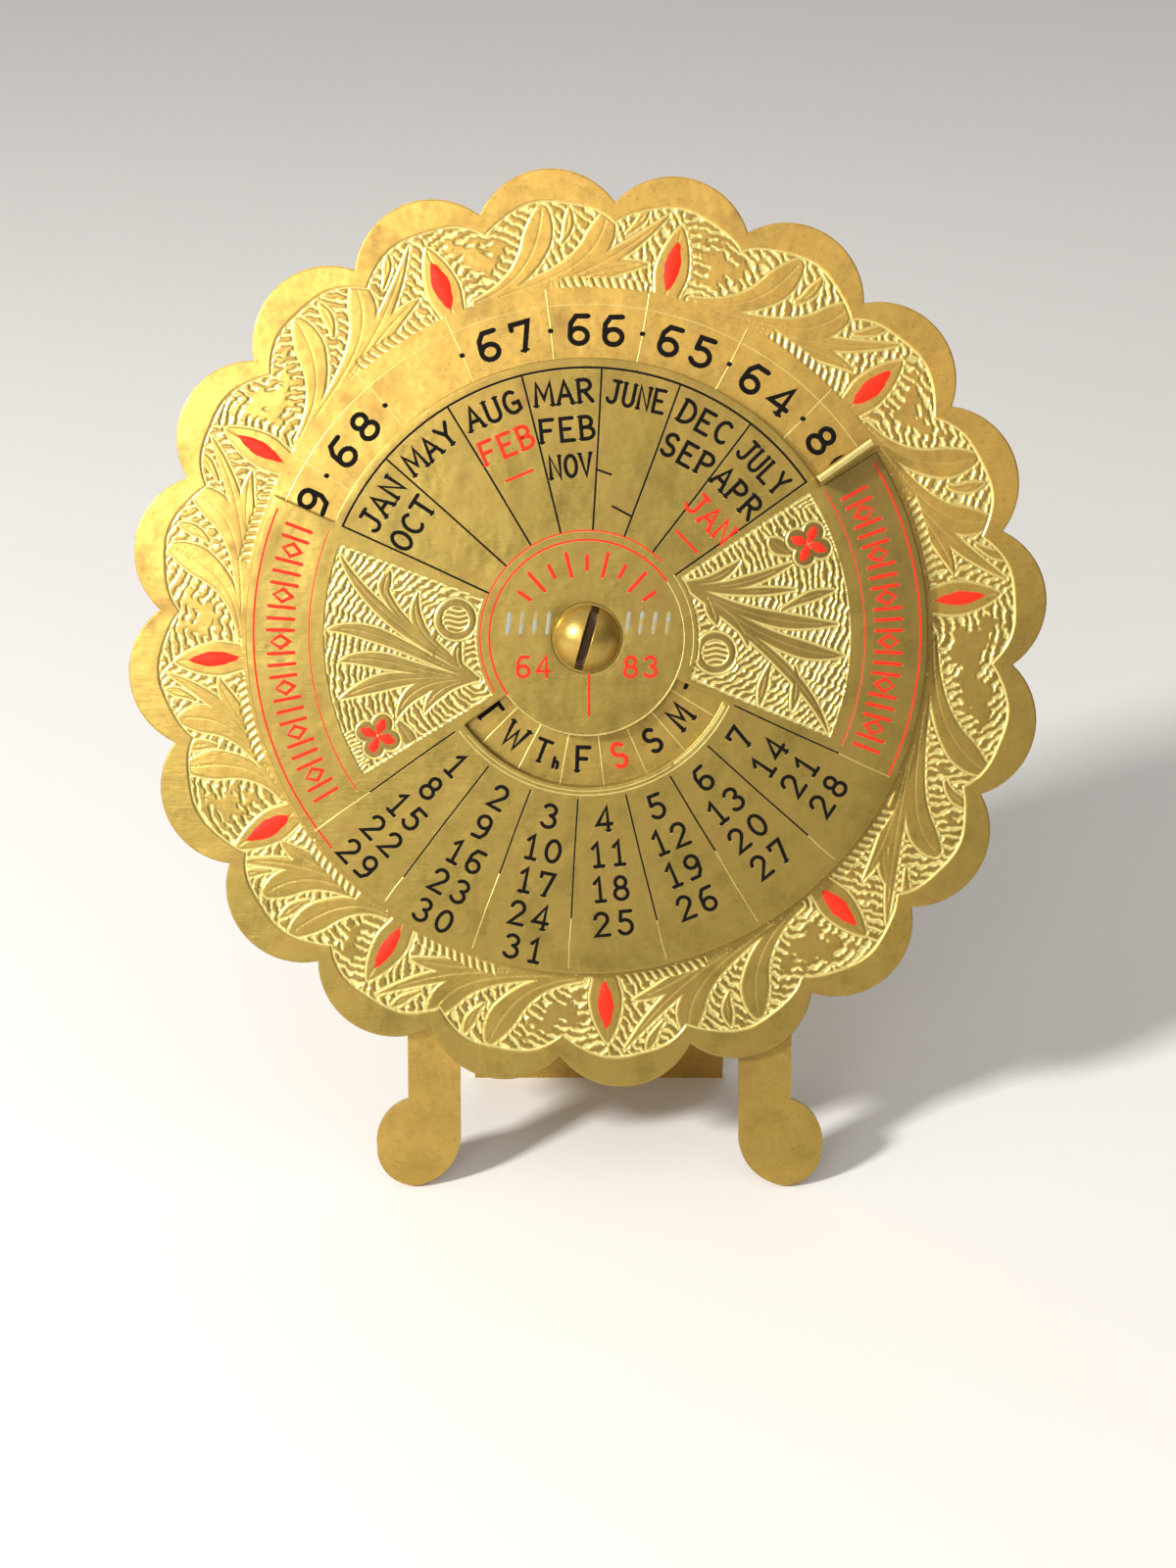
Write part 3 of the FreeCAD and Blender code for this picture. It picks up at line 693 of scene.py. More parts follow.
# Punched letterforms: each is a list of strokes, in a box one unit tall
STEM = [(0.06, 0.0), (0.06, 1.0)]
GLYPHS = {
    "0": [ellipse(0.3, 0.5, 0.27, 0.46)],
    "1": [[(0.1, 0.78), (0.3, 1.0), (0.3, 0.0)], [(0.12, 0.0), (0.48, 0.0)]],
    "2": [ellipse(0.3, 0.72, 0.25, 0.27, 170, -35, 9) + [(0.04, 0.02), (0.58, 0.02)]],
    "3": [ellipse(0.28, 0.75, 0.24, 0.23, 150, -80, 9), ellipse(0.28, 0.27, 0.27, 0.26, 80, -150, 10)],
    "4": [[(0.45, 0.0), (0.45, 1.0), (0.02, 0.28), (0.6, 0.28)]],
    "5": [[(0.54, 0.98), (0.14, 0.98), (0.1, 0.58)], ellipse(0.27, 0.31, 0.28, 0.31, 125, -150, 11)],
    "6": [ellipse(0.3, 0.27, 0.25, 0.27), [(0.05, 0.3), (0.06, 0.7), (0.2, 0.96), (0.54, 0.98)]],
    "7": [[(0.05, 0.8), (0.06, 0.97), (0.56, 0.97), (0.28, 0.0)]],
    "8": [ellipse(0.3, 0.74, 0.21, 0.24), ellipse(0.3, 0.26, 0.26, 0.26)],
    "9": [ellipse(0.3, 0.73, 0.25, 0.27), [(0.55, 0.7), (0.54, 0.3), (0.4, 0.04), (0.08, 0.02)]],
    "A": [[(0.0, 0.0), (0.3, 1.0), (0.6, 0.0)], [(0.12, 0.36), (0.5, 0.36)]],
    "B": [STEM, bowl(1.0, 0.26, 0.76, 0.24, 0.24, 0.52), bowl(0.52, 0.28, 0.26, 0.28, 0.26, 0.0)],
    "C": [ellipse(0.34, 0.5, 0.3, 0.48, 55, 305, 12)],
    "D": [STEM, bowl(1.0, 0.18, 0.5, 0.4, 0.5, 0.0, 9)],
    "E": [[(0.54, 1.0), (0.06, 1.0), (0.06, 0.0), (0.56, 0.0)], [(0.06, 0.52), (0.42, 0.52)]],
    "F": [[(0.56, 1.0), (0.06, 1.0), (0.06, 0.0)], [(0.06, 0.52), (0.44, 0.52)]],
    "G": [ellipse(0.34, 0.5, 0.3, 0.48, 55, 290, 12) + [(0.6, 0.12), (0.6, 0.44), (0.38, 0.44)]],
    "J": [[(0.2, 1.0), (0.56, 1.0)],
          [(0.42, 1.0), (0.42, 0.26)] + ellipse(0.2, 0.24, 0.22, 0.22, 0, -160, 7)],
    "L": [[(0.08, 1.0), (0.08, 0.0), (0.54, 0.0)]],
    "M": [[(0.02, 0.0), (0.08, 1.0), (0.36, 0.3), (0.64, 1.0), (0.7, 0.0)]],
    "N": [[(0.06, 0.0), (0.06, 1.0), (0.56, 0.0), (0.56, 1.0)]],
    "O": [ellipse(0.32, 0.5, 0.29, 0.48)],
    "P": [STEM, bowl(1.0, 0.28, 0.74, 0.26, 0.26, 0.48)],
    "R": [STEM, bowl(1.0, 0.28, 0.75, 0.26, 0.25, 0.5), [(0.26, 0.5), (0.58, 0.0)]],
    "S": [ellipse(0.3, 0.74, 0.23, 0.25, 35, 270, 9) + ellipse(0.3, 0.25, 0.25, 0.25, 90, -145, 9)],
    "T": [[(0.0, 1.0), (0.6, 1.0)], [(0.3, 1.0), (0.3, 0.0)]],
    "U": [[(0.06, 1.0), (0.06, 0.3)] + ellipse(0.31, 0.27, 0.25, 0.27, 180, 360, 8) + [(0.56, 1.0)]],
    "V": [[(0.02, 1.0), (0.3, 0.0), (0.58, 1.0)]],
    "W": [[(0.0, 1.0), (0.18, 0.0), (0.4, 0.75), (0.62, 0.0), (0.8, 1.0)]],
    "Y": [[(0.02, 1.0), (0.3, 0.5), (0.58, 1.0)], [(0.3, 0.5), (0.3, 0.0)]],
    "h": [[(0.06, 0.0), (0.06, 0.62)],
          [(0.06, 0.3)] + ellipse(0.2, 0.28, 0.13, 0.13, 150, 0, 5) + [(0.33, 0.0)]],
}
WIDTHS = {"M": 0.72, "W": 0.8, "1": 0.5, "h": 0.36, "J": 0.58}
USUAL_WIDTH = 0.62
STROKE = 0.16
# A strip's section from side to side: shares of its width and of its height
SECTION = ((-0.5, 0.0), (-0.36, 0.8), (0.0, 1.0), (0.36, 0.8), (0.5, 0.0))


class Ink:
    """Collects strokes that become one mesh of raised, rounded strips."""

    def __init__(self, burr=None):
        self.points = []
        self.faces = []
        self.burr = burr

    def strip(self, path, width, base, raised, closed=False):
        """A strip along a path. A punched one also throws up a burr, a little down and to the right."""
        if self.burr:
            moved = [(px + 0.05, py - 0.06) for px, py in path]
            self.burr.strip(moved, width + 0.16, base - 0.008, 0.02, closed)
        path = np.array(path, dtype=float)
        ahead = np.diff(path, axis=0)
        ahead = ahead / np.maximum(np.hypot(ahead[:, 0], ahead[:, 1])[:, None], 1e-9)
        turn = np.vstack([ahead[:1], ahead[:-1] + ahead[1:], ahead[-1:]])
        if closed:
            turn[0] = turn[-1] = ahead[0] + ahead[-1]
        long = np.hypot(turn[:, 0], turn[:, 1])
        turn = turn / np.maximum(long, 1e-9)[:, None]
        stretch = 1 / np.clip(long / 2, 0.5, 1)
        stretch[[0, -1]] = 1
        normal = np.stack([-turn[:, 1], turn[:, 0]], -1) * stretch[:, None]
        if not closed:
            # Rounded ends, by two narrower sections past each end
            cap = turn[[0, -1]] * width / 2
            path = np.vstack([path[0] - cap[0], path[0] - cap[0] * 0.7, path,
                              path[-1] + cap[1] * 0.7, path[-1] + cap[1]])
            normal = np.vstack([normal[0] * 0.02, normal[0] * 0.7, normal,
                                normal[-1] * 0.7, normal[-1] * 0.02])
        first = len(self.points)
        for p, n in zip(path, normal):
            for across, high in SECTION:
                self.points.append((*(p + n * width * across), base + raised * high))
        row = len(SECTION)
        for k in range(len(path) - 1):
            for c in range(row - 1):
                a = first + row * k + c
                self.faces.append((a, a + row, a + row + 1, a + 1))

    def glyphs(self, text, origin, across, up, height, base, weight, wide, gap, serif):
        """Letters side by side, centred on the origin's baseline."""
        sizes = [WIDTHS.get(letter, USUAL_WIDTH) * wide for letter in text]
        pen = -(sum(sizes) + gap * (len(text) - 1)) / 2
        width = STROKE * height * weight
        for letter, size in zip(text, sizes):
            def at(px, py):
                return origin + (across * (pen + px * wide) + up * py) * height

            for stroke in GLYPHS[letter]:
                self.strip([at(px, py) for px, py in stroke], width, base, 0.035)
                for (px, py), (qx, qy) in ((stroke[0], stroke[1]), (stroke[-1], stroke[-2])):
                    upright = abs(px - qx) < 0.5 * abs(py - qy)
                    if serif and upright and (py < 0.03 or py > 0.97):
                        self.strip([at(px - 0.1, py), at(px + 0.1, py)], width * 0.55, base, 0.032)
            pen += size + gap

    def word(self, text, clock, radius, height, base, outward=True, weight=1.0, wide=1.0, gap=0.2,
             serif=False):
        """Text centred on a clock angle and a radius, tops outwards or inwards."""
        centre = np.array(polar(radius, clock))
        up = centre / radius * (1 if outward else -1)
        across = np.array([up[1], -up[0]])
        self.glyphs(text, centre - up * height / 2, across, up, height, base, weight, wide, gap, serif)

    def ring(self, radius, start, end, width, base, raised=0.02):
        clock = np.linspace(start, end, max(4, int(abs(end - start) / 1.5)))
        self.strip(list(zip(*polar(radius, clock))), width, base, raised)

    def spoke(self, clock, r1, r2, width, base, raised=0.02):
        middle = polar((r1 + r2) / 2, clock + 0.12)
        self.strip([polar(r1, clock), middle, polar(r2, clock)], width, base, raised)

    def dot(self, radius, clock, size, base):
        x, y = polar(radius, clock)
        self.strip([(x - 0.02, y), (x, y), (x + 0.02, y)], size, base, 0.04)

    def build(self, name, **attributes):
        return mesh_object(name, self.points, self.faces, **attributes)


def plate_marks(black, red, line):
    """Years and weekdays round the whole plate, so that the windows read at every turn."""
    top = SKIN - MARK_SINK
    for k, year in enumerate(YEAR_CELLS):
        clock = FIRST_YEAR_AT - CELL * k
        if year:
            black.word(year, clock, YEAR_R, YEAR_TALL, top, weight=1.3, wide=1.25, gap=0.46, serif=True)
        black.dot(33.0, clock + CELL / 2, 0.6, top)
        line.spoke(clock + CELL / 2, 28.9, 37.3, 0.2, top)
    line.ring(35.6, 0, 360, 0.16, top)
    for k in range(21):
        day = WEEK[k % 7]
        clock = FIRST_DAY_AT + CELL * k
        into = red if day.startswith("-") else black
        letters = day.lstrip("-")
        if letters == "Th":
            black.word("T", clock + 2.5, DAY_R, 2.4, top, outward=False, weight=1.15, serif=True)
            black.word("h", clock - 4.8, 13.8, 1.7, top, outward=False, weight=1.5)
        else:
            into.word(letters, clock, DAY_R, DAY_TALL, top, outward=False, weight=1.2, serif=True)
        line.spoke(clock + CELL / 2, 9.8, 17.2, 0.2, top)


def dial_marks(black, red, line):
    """Months, dates, columns and bare circles on the dial."""
    top = DIAL_FACE + SKIN - MARK_SINK
    turn = DIAL_TURN
    half = WINDOW / 2
    for k in range(8):
        black.spoke(turn - half + COLUMN * k, 11.7, 28.7, 0.26, top)
        # The black is worn out of the outer end of each date line
        below = turn + 180 - half + COLUMN * k
        worn_away = 30.0 + 3.0 * math.sin(2.3 * k)
        black.spoke(below, 17.6, worn_away, 0.22, top)
        line.spoke(below, worn_away, 36.2, 0.14, top)
    for k, column in enumerate(MONTH_COLUMNS):
        clock = turn - half + COLUMN * (k + 0.5)
        for row, text in enumerate(column):
            radius = MONTH_R - MONTH_ROW * row
            into = red if text.startswith("-") else black
            letters = text.lstrip("-")
            if letters:
                # JUNE and JULY are longer than the rest, and NOV sits where its column is narrow
                tight = len(letters) == 4 or letters == "NOV"
                weight, wide, gap = (1.15, 0.88, 0.16) if tight else (1.25, 1.12, 0.22)
                into.word(letters, clock, radius, MONTH_TALL, top, weight=weight, wide=wide, gap=gap,
                          serif=True)
            else:
                reach = math.degrees(1.5 / radius)
                stroke = [polar(radius + 0.4, clock + side * reach) for side in (-1, 1)]
                into.strip(stroke, 0.34, top, 0.03)
    # Two short strokes under JUNE
    black.strip([polar(18.1, 3.2), polar(17.7, 8.4)], 0.26, top, 0.03)
    black.strip([polar(14.4, 11.0), polar(13.9, 20.0)], 0.26, top, 0.03)
    for k in range(7):
        clock = turn + 180 - half + COLUMN * (6.5 - k)
        dates = range(k + 1, 32, 7)
        step = 3.72 if len(dates) == 5 else 3.85
        for row, date in enumerate(dates):
            black.word(str(date), clock, DATE_R + step * row, DATE_TALL, top, outward=False, weight=1.1,
                       wide=1.08, gap=0.36, serif=True)
    black.ring(28.85, turn - half, turn + half, 0.3, top)
    for radius, start, end, width in BRIGHT_RINGS:
        line.ring(radius, turn + start, turn + end, width, top)


def red_lines(red):
    """Circles and strokes cut into the dial and filled with red lac."""
    top = DIAL_FACE + SKIN - MARK_SINK
    turn = DIAL_TURN
    for radius, start, end, width in RED_RINGS:
        red.ring(radius, turn + start, turn + end, width, top)
    for low, high, radius in SIDE_BANDS:
        for k in range(BAND_STROKES):
            clock = low + (high - low) * (k + 0.5) / BAND_STROKES
            if k % 4 == 2:
                red.strip(lozenge(radius, clock, 1.0), 0.4, top, 0.035, closed=True)
            else:
                red.strip([polar(radius - 1.4, clock), polar(radius + 1.4, clock)], 0.42, top, 0.035)


def lozenge(radius, clock, half):
    """Four-sided ornament that stands in for words, centred on a radius and an angle."""
    tilt = math.degrees(0.7 * half / radius)
    return [polar(radius + half, clock), polar(radius, clock + tilt), polar(radius - half, clock),
            polar(radius, clock - tilt), polar(radius + half, clock)]


def hub_marks(red, silver):
    """The span of years in plain numerals, short strokes above it and a worn silver band between."""
    top = DIAL_FACE + SKIN - MARK_SINK
    level = np.array([1.0, 0.0])
    upright = np.array([0.0, 1.0])
    for x, text in ((-5.8, "64"), (5.8, "83")):
        red.glyphs(text, np.array([x, -4.2]), level, upright, 2.2, top, 1.15, 1.1, 0.3, False)
    red.strip([(0.2, -8.4), (0.2, -4.0)], 0.32, top, 0.035)
    for k in range(9):
        clock = -56 + 14 * k
        tall = 1.25 if k % 2 else 0.7
        red.strip([polar(8.1 - tall, clock), polar(8.1 + tall, clock)], 0.45, top, 0.035)
    for k in range(13):
        x = -8.6 + 17.2 * k / 12
        if abs(x) > 3.9:
            silver.strip([(x, 0.6), (x + 0.25, 2.6)], 0.5, top, 0.02)


def lac_drop(half_long, half_wide, x, y, turn, base, rise, rings=7, around=28):
    """A pointed oval of lac with a domed, slightly uneven top."""
    points = []
    faces = []
    a = math.radians(turn)
    for i in range(rings + 1):
        s = i / rings
        for j in range(around):
            t = 2 * math.pi * j / around
            u = math.sin(t)
            v = math.cos(t)
            wide = half_wide * u * (1 - 0.35 * abs(v)) * s
            long = half_long * v * s
            px = x + wide * math.cos(a) + long * math.sin(a)
            py = y - wide * math.sin(a) + long * math.cos(a)
            uneven = 0.02 * math.sin(3 * px) * math.cos(4 * py)
            points.append((px, py, base + rise * (1 - s ** 2.4) + uneven))
    for i in range(rings):
        for j in range(around):
            n = (j + 1) % around
            faces.append((i * around + j, i * around + n, (i + 1) * around + n, (i + 1) * around + j))
    return points, faces


def lac_object(name, drops):
    """All the drops of one group as one piece."""
    points, faces = [], []
    for drop_points, drop_faces in drops:
        faces += [tuple(v + len(points) for v in f) for f in drop_faces]
        points += drop_points
    return mesh_object(name, points, faces)


def round_head():
    """Round screw head with a worn slot, as a height over a fine polar grid, down to its rim."""
    radii = np.concatenate([np.linspace(0.0, 3.2, 40), np.linspace(3.25, HEAD_R, 12)])
    clock = np.linspace(0, 360, 241)
    radius, angle = np.meshgrid(radii, clock, indexing="ij")
    x, y = polar(radius, angle)
    cap = HEAD_H - HEAD_RIM
    ball = (HEAD_R ** 2 + cap ** 2) / (2 * cap)
    dome = HEAD_UNDER + HEAD_H - ball + np.sqrt(np.maximum(ball ** 2 - radius ** 2, 0))
    soft = np.clip((HEAD_R - radius) / 0.35, 0, 1)
    dome = dome - 0.12 * (1 - soft) ** 2
    tilt = math.radians(SLOT_TURN)
    across = x * math.cos(tilt) - y * math.sin(tilt)
    depth = np.clip((SLOT_HALF - np.abs(across)) / 0.1, 0, 1)
    slot_floor = HEAD_UNDER + HEAD_H - SLOT_DEPTH
    z = dome * (1 - depth) + np.minimum(dome, slot_floor) * depth
    skirt = np.stack([x[-1], y[-1], np.full(x[-1].shape, HEAD_UNDER)], -1)
    points = np.concatenate([np.stack([x, y, z], -1).reshape(-1, 3), skirt])
    faces = grid_faces(len(radii) + 1, len(clock))
    # Old polish and dirt fill the slot
    grime_and_shade = np.append(np.clip(1.6 * depth.ravel(), 0, 1), np.zeros(len(clock)))
    return mesh_object("round_head", points, faces, dirt=grime_and_shade)


def shank_end():
    """How far behind the plate's face the screw ends, read from its solid."""
    screw = frame["nodes"]["pivot_screw"]
    places = [screw.matrix_world @ v.co for v in screw.data.vertices]
    return min((place - PLATE_ORIGIN).dot(OUT) for place in places) / MM


def shank():
    """The screw's threaded shank, seen from behind past the nut."""
    end = shank_end()
    levels = np.append(np.arange(HEAD_UNDER, end + 0.01, -THREAD_PITCH / 8), [end, end, end])
    clock = np.linspace(0, 360, 49)
    level, angle = np.meshgrid(levels, clock, indexing="ij")
    thread = 0.5 + 0.5 * np.cos(2 * math.pi * (level / THREAD_PITCH + angle / 360))
    radius = SHANK_R - 0.02 - THREAD_DEPTH * thread * (level < -2.0)
    # Chamfered end, closed by two rings
    radius = np.minimum(radius, SHANK_R - 0.4 + (level - end))
    radius[-2] = SHANK_R - 0.7
    radius[-1] = 0.01
    x, y = polar(radius, angle)
    faces = grid_faces(*x.shape)[:, ::-1]
    return mesh_object("threaded_shank", np.stack([x, y, level], -1).reshape(-1, 3), faces)


def tab_wear():
    """The thumb tab's skin: rubbed bright along its edge, with a painted highlight there, and painted shade
    on both flanks.
    """
    # Across the sheet and out of the plate, from one flank over the edge to the other; then bright, for
    # rubbing and a painted highlight, and painted shade
    section = ((-0.02, 1.9, 0, 0), (-0.02, 2.4, 0, 1), (-0.02, 4.15, 0, 1), (0.0, 4.3, 1, 0),
               (0.1, 4.37, 1, 0), (0.7, 4.37, 1, 0),
               (0.8, 4.3, 1, 0), (0.82, 4.15, 0, 1), (0.82, 2.4, 0, 1), (0.82, 1.9, 0, 0))
    radii = (NOTCH_R - 0.02, NOTCH_R - 0.02, NOTCH_R + 0.08, DIAL_R - 0.2, DIAL_R - 0.08, DIAL_R - 0.08)
    out = np.array(polar(1.0, WINDOW / 2 + DIAL_TURN))
    across = np.array([out[1], -out[0]])
    points, cut, dirt = [], [], []
    for step, radius in enumerate(radii):
        for off, level, bright, grime_and_shade in section:
            # The first and last rows close the ends
            closing = step in (0, len(radii) - 1)
            off = TAB_THICK / 2 if closing else off
            points.append((*(out * radius + across * off), level - (0.02 if closing else 0)))
            cut.append(bright)
            dirt.append(grime_and_shade)
    faces = grid_faces(len(radii), len(section))
    return mesh_object("tab_wear", points, faces, cut=cut, dirt=dirt)


def colour(name, code, description):
    return bpy.props.StringProperty(name=name, description=description, default=code)


def length(name, metres, description):
    return bpy.props.FloatProperty(name=name, description=description, default=metres, unit="LENGTH",
                                   subtype="DISTANCE")


class CalendarColours(bpy.types.PropertyGroup):
    golden: colour("Golden brass", "#dfb156", "Least tarnished brass")
    # Olive also colours the painted shade towards the bottom of each sheet
    olive: colour("Olive brass", "#a48b42", "Tarnished brass")
    brown: colour("Brown tarnish", "#94733a", "Darkest blotches")
    # Colour of grime and of painted shade: between the cuts, on the tab's flanks and in the tab's shadow
    dirt: colour("Dirt", "#8a7038", "Grime between the cuts")
    slot_grime: colour("Slot grime", "#45311d", "Old polish in the screw's slot")
    # Bare metal, and also the colour of painted highlights on cuts, burrs, bare lines and the tab's edge
    bright_cut: colour("Bright cut", "#eedc88", "Bare metal in the cuts")
    red: colour("Red lac", "#e0301c", "Lac in the inlays and lines")
    black: colour("Black fill", "#0e0a07", "Enamel in the marks")
    silver: colour("Silver paint", "#8f9a98", "What is left of the hub's paint")
    roughness: bpy.props.FloatProperty(name="Brass roughness", description="Mean roughness of the sheets",
                                       default=0.3, min=0.05, max=1.0, subtype="FACTOR")


class CalendarView(bpy.types.PropertyGroup):
    pitch: bpy.props.FloatProperty(name="Camera pitch", description="How far the camera looks down",
                                   default=math.radians(24.5), subtype="ANGLE")
    distance: length("Camera distance", 0.266, "To the plate along the view")
    above_axis: length("Pivot above the axis", 0.01593, "How high the pivot sits in the frame")
    beside_axis: length("Axis beside the pivot", 0.000117, "How far right of the pivot the view is aimed")
    focal_px: bpy.props.FloatProperty(name="Focal length in pixels", default=2500.0,
                                      description="For an image 1600 pixels tall")


def settings():
    return bpy.context.scene.calendar_colours


def sheet_material(sheet):
    """The same rolled brass for plate, dial and stand, made once for each."""
    name = "tarnished rolled brass, " + sheet
    made = bpy.data.materials.get(name)
    return made or brass_sheet(name, settings(), TARNISHED[sheet], settings().dirt)


# Each fill's setting for its colour, what shows where it is worn, its roughness and where its wear begins
FILLS = {
    "red lac fill": ("red", "#c8452a", 0.32, 0.62),
    "black enamel fill": ("black", "#2c1e12", 0.75, 0.66),
    "worn silver paint": ("silver", "#a08a52", 0.6, 0.42),
}


def fill(name):
    """A fill's material, made once."""
    setting, worn, roughness, wear = FILLS[name]
    made = bpy.data.materials.get(name)
    return made or fill_material(name, getattr(settings(), setting), worn, roughness, wear)


class CALENDAR_OT_plate(bpy.types.Operator):
    """Scalloped plate: engraved border, year ring and weekday ring on the CAD sheet"""
    bl_idname = "calendar.plate"
    bl_label = "Engraved plate"

    def execute(self, context):
        brass = sheet_material("plate")
        put_on(frame["nodes"]["base_plate"], brass, smooth=False)
        leaves = border_leaves()
        pieces = [border_piece(number, BORDER_PIECES, leaves) for number in range(BORDER_PIECES)]
        pieces += [plain_ring(name, r1, r2) for name, (r1, r2) in PLAIN_RINGS.items()]
        for piece in pieces:
            put_on(piece, brass)
            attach(piece, "frame")
        return {"FINISHED"}


class CALENDAR_OT_dial(bpy.types.Operator):
    """Turning dial: smooth face and two engraved sectors on the CAD sheet"""
    bl_idname = "calendar.dial"
    bl_label = "Engraved dial"

    def execute(self, context):
        brass = sheet_material("dial")
        put_on(frame["nodes"]["front_dial"], brass, smooth=False)
        soften(frame["nodes"]["front_dial"], 0.1)
        right = ("right_sector", ORNAMENT_RIGHT, right_fan(), ROUND_FLOWERS[0], RED_FLOWERS[0])
        left = ("left_sector", ORNAMENT_LEFT, left_fan(), ROUND_FLOWERS[1], RED_FLOWERS[1])
        for piece in (dial_skin(), ornament_sector(*right), ornament_sector(*left), tab_wear()):
            put_on(piece, brass)
            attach(piece, "dial")
        return {"FINISHED"}


class CALENDAR_OT_marks(bpy.types.Operator):
    """Numerals, letters, columns and circles, filled with black enamel, red lac and silver paint"""
    bl_idname = "calendar.marks"
    bl_label = "Filled marks"

    def execute(self, context):
        for body, prefix, maker, slot in (("frame", "plate", plate_marks, "plate_brass"),
                                          ("dial", "dial", dial_marks, "dial_brass")):
            line, silver = Ink(), Ink()
            black, red = Ink(line), Ink(line)
            maker(black, red, line)
            if body == "dial":
                red_lines(red)
                hub_marks(red, silver)
            # Burrs and bare lines get a painted highlight on their bare metal
            shine = np.full(len(line.points), BARE_LINE_AND_BURR_HIGHLIGHT)
            pieces = [(black.build(prefix + "_black_marks"), fill("black enamel fill"), slot),
                      (red.build(prefix + "_red_marks"), fill("red lac fill"), "red_lac"),
                      (line.build(prefix + "_burrs_and_lines", cut=shine), sheet_material(prefix), slot)]
            if silver.points:
                pieces.append((silver.build(prefix + "_silver_marks"), fill("worn silver paint"), slot))
            for piece, material, into in pieces:
                put_on(piece, material)
                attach(piece, body)
        return {"FINISHED"}


class CALENDAR_OT_lac(bpy.types.Operator):
    """Red lac: ten pointed inlays in the border and the petals of the dial's two flowers"""
    bl_idname = "calendar.lac"
    bl_label = "Lac inlays"

    def execute(self, context):
        lac = fill("red lac fill")
        drops = []
        for k, clock in enumerate(MARQUISE_AT):
            half_wide = 0.95 + 0.12 * math.sin(2.3 * k)
            drops.append(lac_drop(2.8, half_wide, *polar(MARQUISE_R, clock), clock, SKIN - 0.02, 0.14))
        inlays = lac_object("marquise_inlays", drops)
        put_on(inlays, lac)
        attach(inlays, "frame")
        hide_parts("marquise_lac")
        drops = []
        for x, y in RED_FLOWERS:
            for k in range(PETALS):
                turn = PETAL_TURN + 360 / PETALS * k
                px, py = polar(1.1, turn)
                drops.append(lac_drop(1.0, 0.62, x + px, y + py, turn, DIAL_FACE + SKIN - 0.02, 0.1))
        petals = lac_object("red_flowers", drops)
        put_on(petals, lac)
        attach(petals, "dial")
        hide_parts("flower_lac")
        return {"FINISHED"}


class CALENDAR_OT_pivot(bpy.types.Operator):
    """Round-head screw with its shank, and the washers and nut behind"""
    bl_idname = "calendar.pivot"
    bl_label = "Pivot screw"

    def execute(self, context):
        turned = brass_sheet("worn turned brass", settings(), 0.2, settings().slot_grime)
        for piece in (round_head(), shank()):
            put_on(piece, turned)
            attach(piece, "frame")
            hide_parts("pivot_screw")
        for name in ("dial_spacer", "plain_washer", "spring_washer", "hex_nut"):
            put_on(frame["nodes"][name], turned, smooth=False)
            soften(frame["nodes"][name], 0.08)
        return {"FINISHED"}


class CALENDAR_OT_stand(bpy.types.Operator):
    """Bent sheet stand: the CAD solid with its sheared edges softened"""
    bl_idname = "calendar.stand"
    bl_label = "Sheet stand"

    def execute(self, context):
        stand = frame["nodes"]["stand"]
        put_on(stand, sheet_material("stand"), smooth=False)
        soften(stand, 0.12)
        return {"FINISHED"}


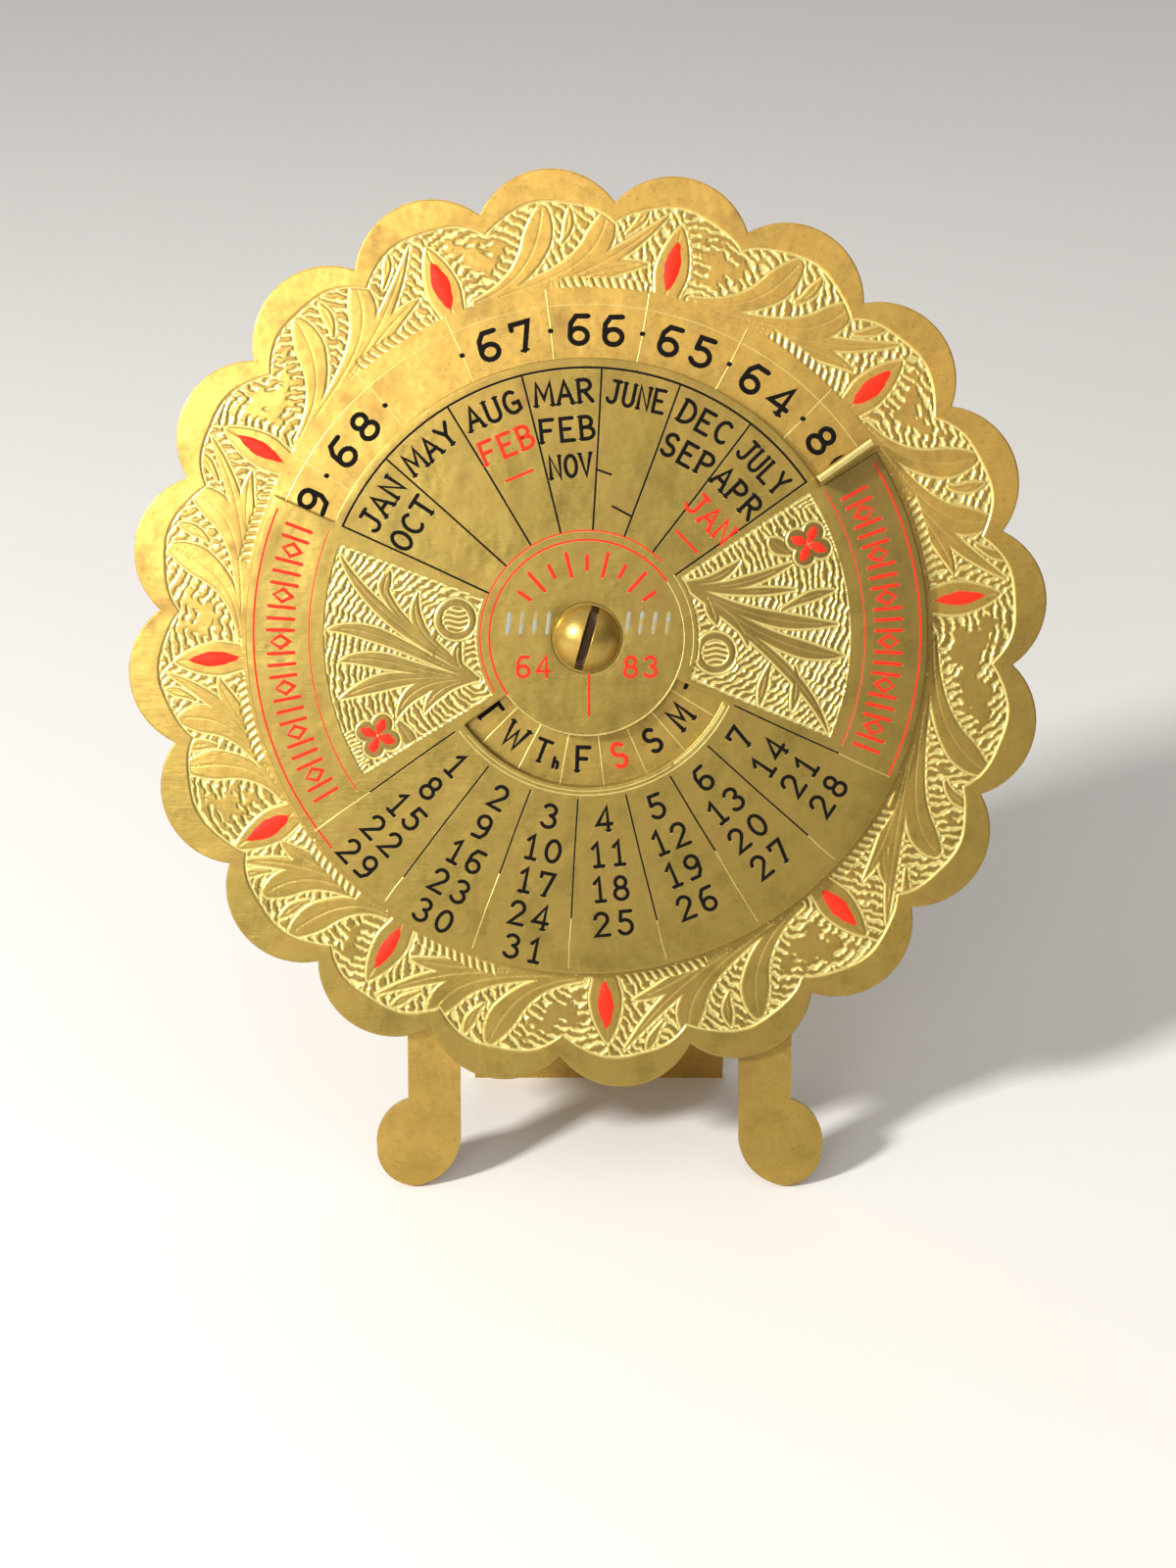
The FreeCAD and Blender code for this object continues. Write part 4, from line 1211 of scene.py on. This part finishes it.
class CALENDAR_OT_stage(bpy.types.Operator):
    """Pale floor, soft lights and the photograph's camera"""
    bl_idname = "calendar.stage"
    bl_label = "Stage"

    def execute(self, context):
        scene = context.scene
        size = 3.0
        corners = [(-size, -size, 0), (size, -size, 0), (size, size, 0), (-size, size, 0)]
        floor = mesh_object("floor", corners, [(0, 1, 2, 3)], transform=Matrix.Identity(4))
        made, tree, shader = new_material("pale matt floor")
        shader.inputs["Base Color"].default_value = srgb("#e6e2dc")
        shader.inputs["Roughness"].default_value = 0.8
        put_on(floor, made, smooth=False)
        world = bpy.data.worlds.new("soft studio")
        world.use_nodes = True
        tree = world.node_tree
        sky = add(tree, "ShaderNodeTexCoord").outputs["Generated"]
        parts = add(tree, "ShaderNodeSeparateXYZ", {0: sky})
        # Dim towards the horizon in front, brighter above and on the left, as beside a window
        leftward = maths(tree, "MULTIPLY", parts.outputs[0], 0.8)
        lift = ramp(tree, maths(tree, "SUBTRACT", parts.outputs[2], leftward), -0.12, 0.42)
        tree.links.new(mix(tree, lift, "#4a4036", "#ffffff"), tree.nodes["Background"].inputs[0])
        tree.nodes["Background"].inputs[1].default_value = 0.63
        scene.world = world
        for name, place, width, power in (("window", (-0.62, -0.46, 0.52), 0.12, 10.5),
                                          ("glow", (-0.34, -1.0, 0.47), 0.36, 2.4)):
            lamp = bpy.data.lights.new(name, "AREA")
            lamp.size = width
            lamp.energy = power
            obj = bpy.data.objects.new(name, lamp)
            obj.location = place
            aim = Vector((0, 0, 0.05)) - Vector(place)
            obj.rotation_euler = aim.to_track_quat("-Z", "Y").to_euler()
            scene.collection.objects.link(obj)
        view = scene.calendar_view
        pitch = view.pitch
        ahead = Vector((0, math.cos(pitch), -math.sin(pitch)))
        above = Vector((0, math.sin(pitch), math.cos(pitch)))
        lens = bpy.data.cameras.new("photograph")
        lens.sensor_fit = "VERTICAL"
        lens.sensor_height = 24.0
        lens.lens = view.focal_px / 1600.0 * lens.sensor_height
        lens.clip_start = 0.01
        camera = bpy.data.objects.new("photograph", lens)
        beside = Vector((view.beside_axis, 0, 0))
        camera.location = PLATE_ORIGIN - ahead * view.distance - above * view.above_axis + beside
        camera.rotation_euler = (math.pi / 2 - pitch, 0, 0)
        scene.collection.objects.link(camera)
        scene.camera = camera
        scene.view_settings.view_transform = "Standard"
        return {"FINISHED"}


class CALENDAR_PT_sidebar(bpy.types.Panel):
    """Buttons that build the calendar piece by piece"""
    bl_idname = "CALENDAR_PT_sidebar"
    bl_label = "Brass Calendar"
    bl_space_type = "VIEW_3D"
    bl_region_type = "UI"
    bl_category = "Brass Calendar"

    def draw(self, context):
        for group in (context.scene.calendar_colours, context.scene.calendar_view):
            box = self.layout.box()
            for name in group.__annotations__:
                box.prop(group, name)
        for operator in OPERATORS:
            self.layout.operator(operator.bl_idname)


OPERATORS = (CALENDAR_OT_plate, CALENDAR_OT_dial, CALENDAR_OT_marks, CALENDAR_OT_lac, CALENDAR_OT_pivot,
             CALENDAR_OT_stand, CALENDAR_OT_stage)
CLASSES = (CalendarColours, CalendarView, *OPERATORS, CALENDAR_PT_sidebar)


def register():
    for cls in CLASSES:
        bpy.utils.register_class(cls)
    bpy.types.Scene.calendar_colours = bpy.props.PointerProperty(type=CalendarColours)
    bpy.types.Scene.calendar_view = bpy.props.PointerProperty(type=CalendarView)


def unregister():
    del bpy.types.Scene.calendar_view
    del bpy.types.Scene.calendar_colours
    for cls in reversed(CLASSES):
        bpy.utils.unregister_class(cls)


def main():
    register()
    bpy.ops.calendar.plate()
    bpy.ops.calendar.dial()
    bpy.ops.calendar.marks()
    bpy.ops.calendar.lac()
    bpy.ops.calendar.pivot()
    bpy.ops.calendar.stand()
    bpy.ops.calendar.stage()


if __name__ == "__main__":
    main()
